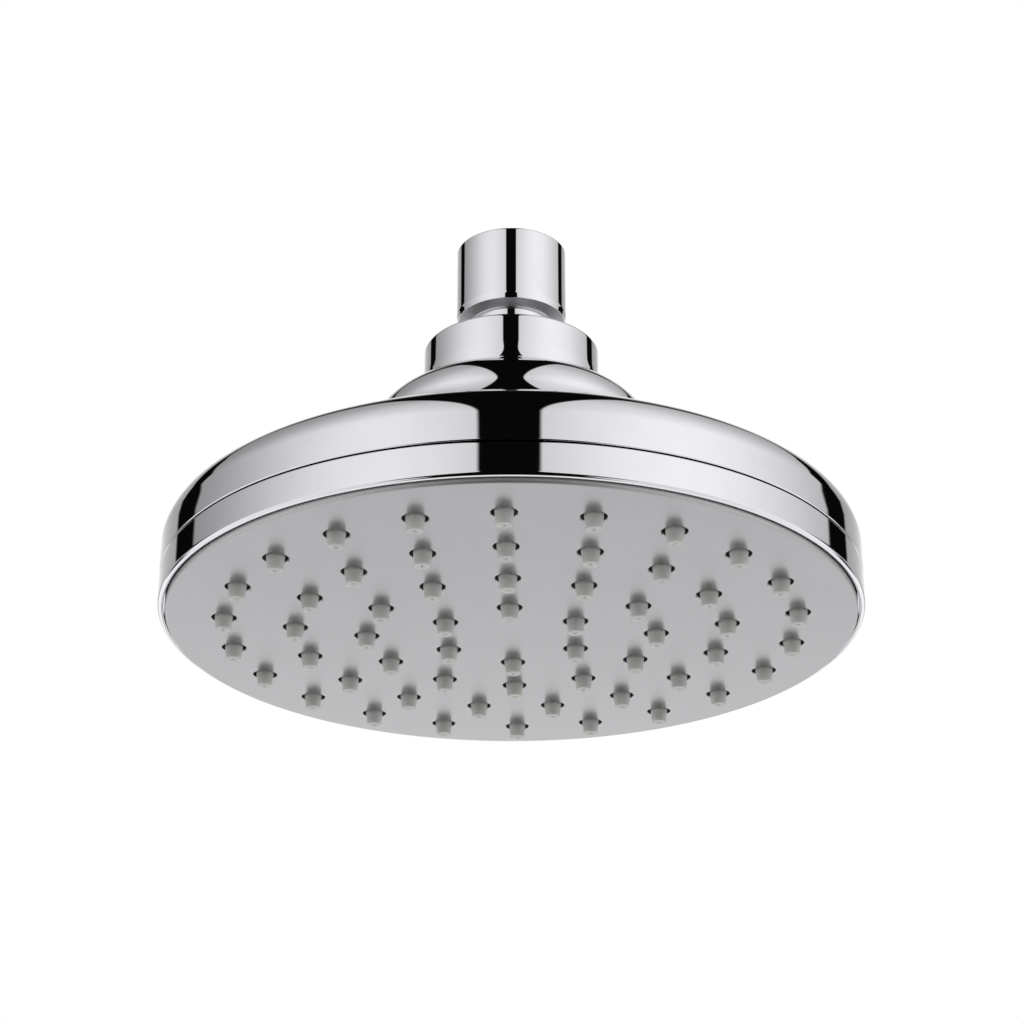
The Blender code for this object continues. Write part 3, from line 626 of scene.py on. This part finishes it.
def inletFitting(v):
    # one closed outline round the axis; the ball is radius = R sin a, height = centre + R cos a
    # from the stem to the flat, and the socket's wall carries the groove's wave
    stemAngle = math.asin(v["stem"] / v["ball"])
    flatAngle = math.acos(-v["ballFlat"] / v["ball"])
    ball = arc(v["ball"], v["ballCentre"], np.linspace(stemAngle, flatAngle, v["ballRows"]))
    neckTop = v["bottom"] - v["taperHeight"]
    neckFoot = neckTop - v["neckHeight"]
    outside = [
        (v["radius"], v["top"], v["topRound"]),
        (v["radius"], v["bottom"] + v["footHeight"], v["footRound"]),
        (v["radius"] - v["footWidth"], v["bottom"], v["taperRound"]),
        (v["neck"], neckTop, v["taperRound"]),
        (v["neck"], neckFoot, v["neckRound"]),
        (v["stem"], neckFoot, v["stemRound"]),
    ]
    inside = [
        (v["bore"], v["ballCentre"] - v["ballFlat"], v["boreRound"]),
        (v["bore"], v["recessFloor"]),
        (v["recess"], v["recessFloor"]),
        (v["recess"], v["socketFloor"], v["floorRound"]),
        (v["socket"], v["socketFloor"]),
    ]
    wallTop = v["top"] - v["chamfer"]
    wallStep = v["threadPitch"] / v["threadRows"]
    thread = np.arange(v["socketFloor"] + v["wallStart"], wallTop - v["wallEnd"], wallStep)
    wall = [(v["socket"], height) for height in thread]
    mouth = [(v["socket"], wallTop), (v["socket"] + v["chamfer"], v["top"], v["chamferRound"])]
    outline = rounded([*outside, *ball, *inside, *wall, *mouth])

    def groove(radius, height, angle):
        # depth (1/2 - 1/2 cos(2 pi (height / pitch - turns))) to the power, on the socket's wall only,
        # faded in over its start and out at its end
        wave = 0.5 - 0.5 * np.cos(2 * np.pi * (height / v["threadPitch"] - angle / (2 * np.pi)))
        start = np.clip((height - v["threadStart"]) / v["threadFadeIn"], 0, 1)
        end = np.clip((v["top"] - v["threadEnd"] - height) / v["threadFadeOut"], 0, 1)
        near = np.abs(radius - v["socket"]) < v["wallNear"]
        onWall = near & (height > v["socketFloor"] + v["wallOver"])
        return np.where(onWall, v["threadDepth"] * wave ** v["threadPower"] * start * end, 0)

    return turned("inletFitting", outline, v["steps"], grow=groove)


washerSizes = {
    "outer": 9.0,
    "bore": 5.3,
    "bottom": 83.664,
    "top": 85.664,
    "round": 0.3,
    "roundSteps": 6,
    "steps": 160,
}


def sealWasher(v):
    # a rectangle with four round corners, round the axis
    outline = rounded([
        (v["outer"], v["top"], v["round"]),
        (v["outer"], v["bottom"], v["round"]),
        (v["bore"], v["bottom"], v["round"]),
        (v["bore"], v["top"], v["round"]),
    ], v["roundSteps"])
    return turned("sealWasher", outline, v["steps"])


strainerSizes = {
    "outer": 9.0,
    "bottom": 82.664,
    "thickness": 0.7,
    "edgeRound": 0.1,
    "cap": 4.6,
    "capRise": 1.3,
    "capRound": 0.45,
    "footRound": 0.3,
    "innerRound": 0.2,
    "roundSteps": 5,
    "hole": 0.36,
    "holeSides": 12,
    "holeReach": (3, 1),  # over and under the disc
    "rings": (1, 6, 12, 18),
    "ringPitch": 1.2,
    "ringTurn": 0.2,  # radians between one ring's first hole and the next's
    "steps": 128,
}


def strainer(v):
    # a disc with a raised cap, round the axis; its holes stand at x = r cos a, y = r sin a
    low, high = v["bottom"], v["bottom"] + v["thickness"]
    foot = v["cap"] + v["capRise"] / 2
    outline = rounded([
        (0, high + v["capRise"]),
        (v["cap"], high + v["capRise"], v["capRound"]),
        (foot, high, v["footRound"]),
        (v["outer"], high, v["edgeRound"]),
        (v["outer"], low, v["edgeRound"]),
        (foot - v["thickness"], low, v["innerRound"]),
        (v["cap"] - v["thickness"], low + v["capRise"], v["innerRound"]),
        (0, low + v["capRise"]),
    ], v["roundSteps"])
    piece = turned("strainer", outline, v["steps"], closed=False)
    places = [np.zeros((1, 3))]
    for ring, count in enumerate(v["rings"][1:], start=1):
        angle = np.arange(count) * 2 * np.pi / count + v["ringTurn"] * ring
        places.append(ringPlaces(ring * v["ringPitch"], angle))
    over, under = v["holeReach"]
    hole = drill(v["hole"], high + over, low - under)
    return carve(piece, pins("strainerHoles", hole, np.vstack(places), v["holeSides"]), "DIFFERENCE")


# Ball joint

ringSizes = {
    "outer": 14.0,
    "bore": 9.79,
    "bottom": 63.864,
    "top": 68.064,
    "sphere": 11.9,
    "ballCentre": 60.464,
    "slit": 1.0,
    "seatRows": 16,
    "outerRound": 0.3,
    "boreRound": 0.2,
    "roundSteps": 5,
    "steps": 200,
}


def splitRing(v):
    # the seat is radius = S sin a, height = centre + S cos a;
    # the outline goes round from a = pi + off to 3 pi - off, where sin(off) = half the slit / radius
    lowAngle = math.acos((v["bottom"] - v["ballCentre"]) / v["sphere"])
    boreAngle = math.asin(v["bore"] / v["sphere"])
    outline = rounded([
        (v["outer"], v["top"], v["outerRound"]),
        (v["outer"], v["bottom"], v["outerRound"]),
        *arc(v["sphere"], v["ballCentre"], np.linspace(lowAngle, boreAngle, v["seatRows"])),
        (v["bore"], v["top"], v["boreRound"]),
    ], v["roundSteps"])
    off = np.arcsin(v["slit"] / 2 / outline[:, :1])
    share = np.linspace(0, 1, v["steps"])[None, :]
    angle = np.pi + off + share * (2 * np.pi - 2 * off)
    radius = outline[:, :1] + 0 * share
    height = outline[:, 1:] + 0 * share
    points = np.stack([radius * np.cos(angle), radius * np.sin(angle), height], axis=-1)
    return gridMesh("splitRing", points[None], wrapColumns=False, capEnds=True)


nutSizes = {
    "radius": 19.5,
    "bottom": 58.864,
    "top": 70.364,
    "topRound": 0.7,
    "footStart": 61.5,
    "footRound": 15.0,
    "footRadius": 18.75,
    "footEdge": 0.3,
    "bore": 16.2,
    "boreRound": 0.1,
    "threadTop": 63.564,
    "ringBore": 14.3,
    "lipUnderside": 68.364,
    "lipRound": 0.1,
    "opening": 12.0,
    "openingRound": 0.15,
    "chamfer": 0.4,
    "roundSteps": 10,
    "steps": 320,
}


def collarNut(v):
    # one closed outline round the axis; the side leans in towards the foot after a large round
    outline = rounded([
        (v["radius"], v["top"], v["topRound"]),
        (v["radius"], v["footStart"], v["footRound"]),
        (v["footRadius"], v["bottom"], v["footEdge"]),
        (v["bore"] + v["chamfer"], v["bottom"], v["boreRound"]),
        (v["bore"], v["bottom"] + v["chamfer"]),
        (v["bore"], v["threadTop"]),
        (v["ringBore"], v["threadTop"]),
        (v["ringBore"], v["lipUnderside"]),
        (v["opening"], v["lipUnderside"], v["lipRound"]),
        (v["opening"], v["top"] - v["chamfer"], v["openingRound"]),
        (v["opening"] + v["chamfer"], v["top"], v["openingRound"]),
    ], v["roundSteps"])
    return turned("collarNut", outline, v["steps"])


# Body: dome, shoulder and side wall

shellSizes = {
    "radius": 75.0,
    "parting": 12.684,
    "edgeRound": 0.28,
    "shoulder": ((20.3, 58.3), (23.5, 58.3), (31.2, 54.5), (31.2, 48.564)),
    "flare": ((31.2, 48.564), (31.2, 45.7), (33.3, 42.3), (38.3, 39.5)),
    "dome": ((38.3, 39.5), (58.8, 27.7), (75.0, 28.4), (75.0, 18.764)),
    "curveSteps": (48, 28, 84),
    "wall": 2.6,
    "neck": 15.9,
    "neckBore": 14.0,
    "neckRound": 0.2,
    "neckTop": 63.264,
    "neckSeat": 50.764,
    "tongueRoom": 73.2,
    "roomTop": 17.164,
    "landOuter": 71.6,
    "landInner": 64.6,
    "land": 11.564,
    "grooveOuter": 67.25,
    "grooveInner": 65.15,
    "grooveTop": 13.064,
    "tube": 17.9,
    "tubeFoot": 43.964,
    "tubeTaper": 5.5,
    "tubeRing": 4.0,
    "passage": 6.0,
    "passageRise": 2.8,
    "seatBore": 9.4,
    "screwCircle": 69.35,
    "screwHole": 1.5,
    "screwDepth": 19.364,
    "screwCount": 8,
    "holeSides": 16,
    "holeUnder": 1,  # under the land
    "steps": 360,
}


def bodyShell(v):
    # the outside is three Bezier curves and a straight wall; the lining is outside + wall
    # times the curve's unit normal; a screw hole stands at x = r cos a, y = r sin a
    shoulder, flare, dome = (curve(*v[name], steps) for name, steps
                             in zip(("shoulder", "flare", "dome"), v["curveSteps"]))
    outside = np.vstack([shoulder, flare[1:], dome[1:]])
    slope = np.gradient(outside, axis=0)
    slope = slope / np.hypot(slope[:, 0], slope[:, 1])[:, None]
    lining = outside + v["wall"] * np.stack([slope[:, 1], -slope[:, 0]], axis=-1)
    kept = (lining[:, 0] < v["landInner"]) & (lining[:, 0] > v["tube"])
    lining = lining[kept][::-4]  # back to the middle, where every fourth point will do
    outline = rounded([
        (v["neck"], v["neckTop"], v["neckRound"]),
        (v["neck"], v["shoulder"][0][1]),
        *outside,
        (v["radius"], v["parting"], v["edgeRound"]),
        (v["tongueRoom"], v["parting"]),
        (v["tongueRoom"], v["roomTop"]),
        (v["landOuter"], v["roomTop"]),
        (v["landOuter"], v["land"]),
        (v["grooveOuter"], v["land"]),
        (v["grooveOuter"], v["grooveTop"]),
        (v["grooveInner"], v["grooveTop"]),
        (v["grooveInner"], v["land"]),
        (v["landInner"], v["land"]),
        *lining,
        (v["tube"], lining[-1][1]),
        (v["tube"], v["tubeFoot"] + v["tubeTaper"]),
        (v["passage"] + v["tubeRing"], v["tubeFoot"]),
        (v["passage"], v["tubeFoot"]),
        (v["passage"], v["tubeFoot"] + v["passageRise"]),
        (v["seatBore"], v["neckSeat"]),
        (v["neckBore"], v["neckSeat"]),
        (v["neckBore"], v["neckTop"], v["neckRound"]),
    ])
    piece = turned("bodyShell", outline, v["steps"])
    places = ringPlaces(v["screwCircle"], (np.arange(v["screwCount"]) + 0.5) * 2 * np.pi / v["screwCount"])
    hole = drill(v["screwHole"], v["screwDepth"], v["land"] - v["holeUnder"])
    return carve(piece, pins("landHoles", hole, places, v["holeSides"]), "DIFFERENCE")


rimSizes = {
    "radius": 75.0,
    "bottom": 5.364,
    "parting": 12.344,
    "topRound": 0.25,
    "edgeRound": 0.75,
    "lip": 73.78,
    "lipRound": 0.3,
    "seat": 8.964,
    "tongueInner": 71.9,
    "tongueOuter": 72.9,
    "tongueTop": 16.864,
    "steps": 400,
}


def rimRing(v):
    # a band with a thin tongue over it, one closed outline round the axis
    outline = rounded([
        (v["radius"], v["parting"], v["topRound"]),
        (v["radius"], v["bottom"], v["edgeRound"]),
        (v["lip"], v["bottom"], v["lipRound"]),
        (v["lip"], v["seat"]),
        (v["tongueInner"], v["seat"]),
        (v["tongueInner"], v["tongueTop"]),
        (v["tongueOuter"], v["tongueTop"]),
        (v["tongueOuter"], v["parting"]),
    ])
    return turned("rimRing", outline, v["steps"])


# Face: the pierced dished plate and the soft mat behind it

faceSizes = {
    "radius": 73.48,
    "rimHeight": 5.364,
    "centreDrop": 2.75,
    "edgeDrop": 0.9,
    "thickness": 1.0,
    "rows": 40,
    "innerMargin": 1.0,  # between the dish's inside and the turned-up edge
    "innerRound": 0.5,
    "wallTop": 8.664,
    "wallRound": 0.15,
    "edgeRound": 0.7,
    "holeRadius": 2.65,
    "holeChamfer": 0.12,
    "holeSides": 40,
    "holeReach": (3, -2),  # heights from the plate's outside
    "ringRadii": (15.8, 30.867, 45.933, 61.0),
    "ringCounts": (6, 12, 17, 22),
    "patternTurn": -1.3,
    "steps": 256,
}


def dishHeight(radius, v):
    # a shallow bowl that hangs below the rim:
    # rim height - centre drop + (centre drop - edge drop) (r / R) squared
    share = radius / v["radius"]
    return v["rimHeight"] - v["centreDrop"] + (v["centreDrop"] - v["edgeDrop"]) * share * share


def nozzlePlaces(v):
    # x = r sin a, y = -r cos a on each ring, evenly spaced; z is the face's outside there
    rings = []
    for radius, count in zip(v["ringRadii"], v["ringCounts"]):
        angle = math.radians(v["patternTurn"]) + np.arange(count) * 2 * np.pi / count
        height = np.full(count, dishHeight(radius, v))
        rings.append(np.stack([radius * np.sin(angle), -radius * np.cos(angle), height], axis=-1))
    return np.vstack(rings)


def facePlate(v):
    # the bowl and the same bowl a thickness higher, joined by a turned-up edge, round the axis;
    # each hole is a cylinder that opens out by a small cone at the outside
    bend = v["radius"] - v["edgeRound"]
    wall = v["radius"] - v["thickness"]
    edge = dishHeight(v["radius"], v)
    radius = np.linspace(0, bend, v["rows"])
    low = np.stack([radius, dishHeight(radius, v)], axis=-1)
    inner = radius * (wall - v["innerMargin"]) / bend
    high = np.stack([inner, dishHeight(inner, v) + v["thickness"]], axis=-1)
    outline = rounded([
        *high,
        (wall, edge + v["thickness"], v["innerRound"]),
        (wall, v["wallTop"], v["wallRound"]),
        (v["radius"], v["wallTop"], v["wallRound"]),
        (v["radius"], edge, v["edgeRound"]),
        *low[:-1][::-1],
    ])
    piece = turned("facePlate", outline, v["steps"], closed=False)
    size, chamfer = v["holeRadius"], v["holeChamfer"]
    wide = size + chamfer * 2
    over, under = v["holeReach"]
    hole = np.array([(0, over), (size, over), (size, chamfer), (wide, -chamfer), (wide, under), (0, under)])
    return carve(piece, pins("faceHoles", hole, nozzlePlaces(v), v["holeSides"]), "DIFFERENCE")


matSizes = {
    "radius": 65.0,
    "rows": 30,
    "gap": 0.3,
    "thickness": 1.5,
    "reach": 2.6985,
    "base": 2.1,
    "tip": 1.6,
    "tipRound": 0.28,
    "dimple": 0.95,
    "dimpleRound": 0.06,
    "dimpleSlope": 0.1,
    "dimpleDepth": 0.10,
    "roundSteps": 4,
    "outlet": 0.20,
    "intake": 1.2,
    "boreReach": (1, 0.5),  # over the sheet and under the tips
    "sides": 28,
    "boreSides": 16,
    "steps": 160,
}


def nozzleMat(v, face):
    # a sheet between two copies of the face's bowl; a nozzle's side runs straight from base to tip,
    # and its bore straight from intake to outlet
    low = face["thickness"] + v["gap"]
    high = low + v["thickness"]
    radius = np.linspace(0, v["radius"], v["rows"])
    dish = dishHeight(radius, face)
    top = np.stack([radius, dish + high], axis=-1)
    bottom = np.stack([radius, dish + low], axis=-1)[::-1]
    piece = turned("nozzleMat", np.vstack([top, bottom]), v["steps"], closed=False)
    root = low + v["thickness"] / 2
    dimpleFloor = v["dimpleDepth"] - v["reach"]
    nozzle = rounded([
        (0, root),
        (v["base"], root),
        (v["tip"], -v["reach"], v["tipRound"]),
        (v["dimple"], -v["reach"], v["dimpleRound"]),
        (v["dimple"] - v["dimpleSlope"], dimpleFloor),
        (0, dimpleFloor),
    ], v["roundSteps"])
    places = nozzlePlaces(face)
    carve(piece, pins("nozzleCones", nozzle, places, v["sides"]), "UNION")
    over, under = v["boreReach"]
    start, end = high + over, -v["reach"] - under
    bore = np.array([(0, start), (v["intake"], start), (v["outlet"], end), (0, end)])
    return carve(piece, pins("nozzleBores", bore, places, v["boreSides"]), "DIFFERENCE")


# Studio: two soft walls with a dark slot between them on the camera's side and overhead,
# a dark edge behind each and a white backdrop behind the head

studio = {  # angles are in degrees, round from the camera's side and up from the horizon
    "slot": (0.158, 0.085),  # half width at the horizon and its growth to the zenith
    "slotOffset": 0.010,
    "slotSoft": 0.012,
    "slotBelow": 0.62,  # half width under the horizon
    "slotWidens": (0.42, -0.42),
    "slotNarrows": (-0.70, -0.40, 0.4, 1.0),  # and its share straight below
    "leftPeak": (-42, 53, 0.24, 0.64),  # where the wall is brightest, its spread, base and peak
    "rightPeak": (55, 58, 0.35, 0.63),
    "lowest": 22,
    "fade": 42,
    "overhead": (38, 72),
    "overheadGlow": 0.14,
    "wallEnd": ((24.3, 123), (25, 120), (26, 120), (29, 117.5), (30, 117.5), (40, 129.5), (45.5, 151.5)),
    "backdropStart": ((24.3, 138), (25, 133.5), (29.5, 133.5), (41, 147), (47, 163)),
    "drawnIn": ((-8, 0), (4, -24), (6, -24), (23, 0)),  # added to both low down
    "wallSoft": 1.2,
    "backdrop": (0.35, 0.72),
    "backdropSpread": 24,
    "backdropTop": (31, 56),
    "edgeGlow": (46, 54, 0.0, 0.05),
    "underTop": (4, -6),  # the lower half takes over
    "underBack": (0.05, -0.05),
    "underSides": (-30, -16),
    "underNear": (0.85, -0.5, 0.76, 1.0),
    "underDim": (-16, -34, 0.0, 0.12),
    "leastLight": 0.0025,
}


def studioWorld(v):
    world = bpy.data.worlds.new("studio")
    bpy.context.scene.world = world
    world.use_nodes = True
    world.node_tree.nodes.clear()
    start = Wire(world.node_tree)
    x, y, z = start.node("ShaderNodeTexCoord", {}, {}, "Generated").parts()
    near = -y
    degrees = 180 / math.pi
    around = start.maths("ARCTAN2", abs(x), near) * degrees
    height = start.maths("ARCSINE", z) * degrees

    # half width of the slot: narrow + growth z cubed, and wider where it is under the horizon
    narrow, growth = v["slot"]
    below = z.ease(*v["slotWidens"])
    wide = below * below * z.ramp(*v["slotNarrows"])
    slot = (z * z * z * growth + narrow).over(wide * (v["slotBelow"] - narrow) + narrow)
    panel = (abs(x + v["slotOffset"]) - slot + v["slotOffset"]).ease(-v["slotSoft"], v["slotSoft"])

    def glow(middle, spread, base, peak):
        # base + peak exp(-(across squared + up squared))
        up = (height - v["lowest"]).over(0.0) / v["fade"]
        across = (around - abs(middle)) / spread
        return base + peak * start.maths("EXPONENT", -(across * across + up * up))

    right = start.maths("GREATER_THAN", x, 0.0)
    lit = right * glow(*v["rightPeak"]) + (1 - right) * glow(*v["leftPeak"])
    lit = lit + height.ease(*v["overhead"]) * v["overheadGlow"]

    # the walls end, a dark gap follows, and then the backdrop starts
    soft = v["wallSoft"]
    drawnIn = height.bent(v["drawnIn"])
    onWall = (around - height.bent(v["wallEnd"]) - drawnIn).ease(soft, -soft)
    onBackdrop = (around - height.bent(v["backdropStart"]) - drawnIn).ease(-soft, soft)
    inGap = (1 - onWall) * (1 - onBackdrop)
    base, peak = v["backdrop"]
    backdrop = (base + peak * around.bell(180, v["backdropSpread"])) * (1 - height.ease(*v["backdropTop"]))
    upper = panel * onWall * lit + onBackdrop * backdrop + inGap * height.ramp(*v["edgeGlow"]) * panel

    # under the horizon everything is pale but the slot and the gaps
    under = height.ease(*v["underTop"])
    openSlot = near.ease(*v["underBack"]).over(panel)
    sideDark = inGap * height.ease(*v["underSides"])
    white = near.ramp(*v["underNear"]) - height.ramp(*v["underDim"])
    light = upper * (1 - under) + openSlot * (1 - sideDark) * white * under + v["leastLight"]
    room = start.node("ShaderNodeBackground", {}, {"Color": (1, 1, 1), "Strength": light})
    plain = start.node("ShaderNodeBackground", {}, {"Color": (1, 1, 1), "Strength": 1.0})
    seen = start.node("ShaderNodeLightPath", {}, {}, "Is Camera Ray")
    both = start.node("ShaderNodeMixShader", {}, {0: seen, 1: room, 2: plain})
    start.node("ShaderNodeOutputWorld", {}, {"Surface": both})


floorLook = {
    "depth": 900.0,
    "half": 6.0,  # metres
    "colour": (0.80, 0.80, 0.80),
    "darker": 0.98,
    "noise": (3.0, 2.0),
    "glow": 1.0,
    "seenGlow": 0.8,  # share of the glow that the camera sees
}


def paleFloor(v):
    # a flat square far below the head
    mesh = bpy.data.meshes.new("floor")
    half, depth = v["half"], -v["depth"] * mm
    corners = [(-half, -half, depth), (half, -half, depth), (half, half, depth), (-half, half, depth)]
    mesh.from_pydata(corners, [], [(0, 1, 2, 3)])
    floor = bpy.data.objects.new("floor", mesh)
    bpy.context.scene.collection.objects.link(floor)
    material = bpy.data.materials.new("paleFloor")
    material.use_nodes = True
    tree = material.node_tree
    tree.nodes.clear()
    start = Wire(tree)
    place = start.node("ShaderNodeTexCoord", {}, {}, "Object")
    darker = tuple(part * v["darker"] for part in v["colour"])
    shade = place.noise(*v["noise"]).blendTo(v["colour"], darker)
    matt = start.node("ShaderNodeBsdfDiffuse", {}, {"Color": shade})
    glow = start.node("ShaderNodeEmission", {}, {"Color": (1, 1, 1), "Strength": v["glow"]})
    seen = start.node("ShaderNodeLightPath", {}, {}, "Is Camera Ray")
    glossy = Wire(tree, seen.socket.node.outputs["Is Glossy Ray"])
    both = start.node("ShaderNodeMixShader", {}, {0: (seen * v["seenGlow"]).over(glossy), 1: matt, 2: glow})
    start.node("ShaderNodeOutputMaterial", {}, {"Surface": both})
    mesh.materials.append(material)
    floor.visible_glossy = False
    floor.visible_diffuse = False


studioWorld(studio)
paleFloor(floorLook)
print("studio lit")


# Put together

inletChrome = platedChrome("inletChrome", chromeLook, inletLook)
shellChrome = platedChrome("shellChrome", chromeLook)
satin = satinPlate("satinSteel", faceLook)
silicone = softSilicone("greySilicone", siliconeLook, faceSizes)
rubber = blackRubber("blackRubber", rubberLook)
nylon = whiteNylon("whiteNylon", nylonLook)
moulding = blackMoulding("blackMoulding", mouldingLook)
steel = plainSteel("plainSteel", steelLook)

fit(inletFitting(inletSizes), "inlet_connector", "inlet", inletChrome)
fit(sealWasher(washerSizes), "inlet_washer", "inlet", rubber)
fit(strainer(strainerSizes), "inlet_strainer", "inlet", steel)
print("inlet done")
fit(splitRing(ringSizes), "split_ring", "head", nylon)
fit(collarNut(nutSizes), "collar_nut", "head", shellChrome)
print("ball joint done")
fit(bodyShell(shellSizes), "body_shell", "head", shellChrome)
fit(rimRing(rimSizes), "rim_ring", "head", shellChrome)
print("body done")
fit(facePlate(faceSizes), "face_plate", "head", satin)
fit(nozzleMat(matSizes, faceSizes), "nozzle_mat", "head", silicone)
print("face done")

keptNodes = {
    "flow_limiter": nylon,
    "ball_seal": rubber,
    "chamber_seal": rubber,
    "seal_backing_ring": steel,
    "backing_plate": moulding,
}
for number in range(8):
    keptNodes[f"cover_screw_{number + 1}"] = steel
for name, material in keptNodes.items():
    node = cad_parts[name]
    node.data.materials.clear()
    node.data.materials.append(material)

bpy.context.scene.view_settings.view_transform = "Standard"

print("finished")
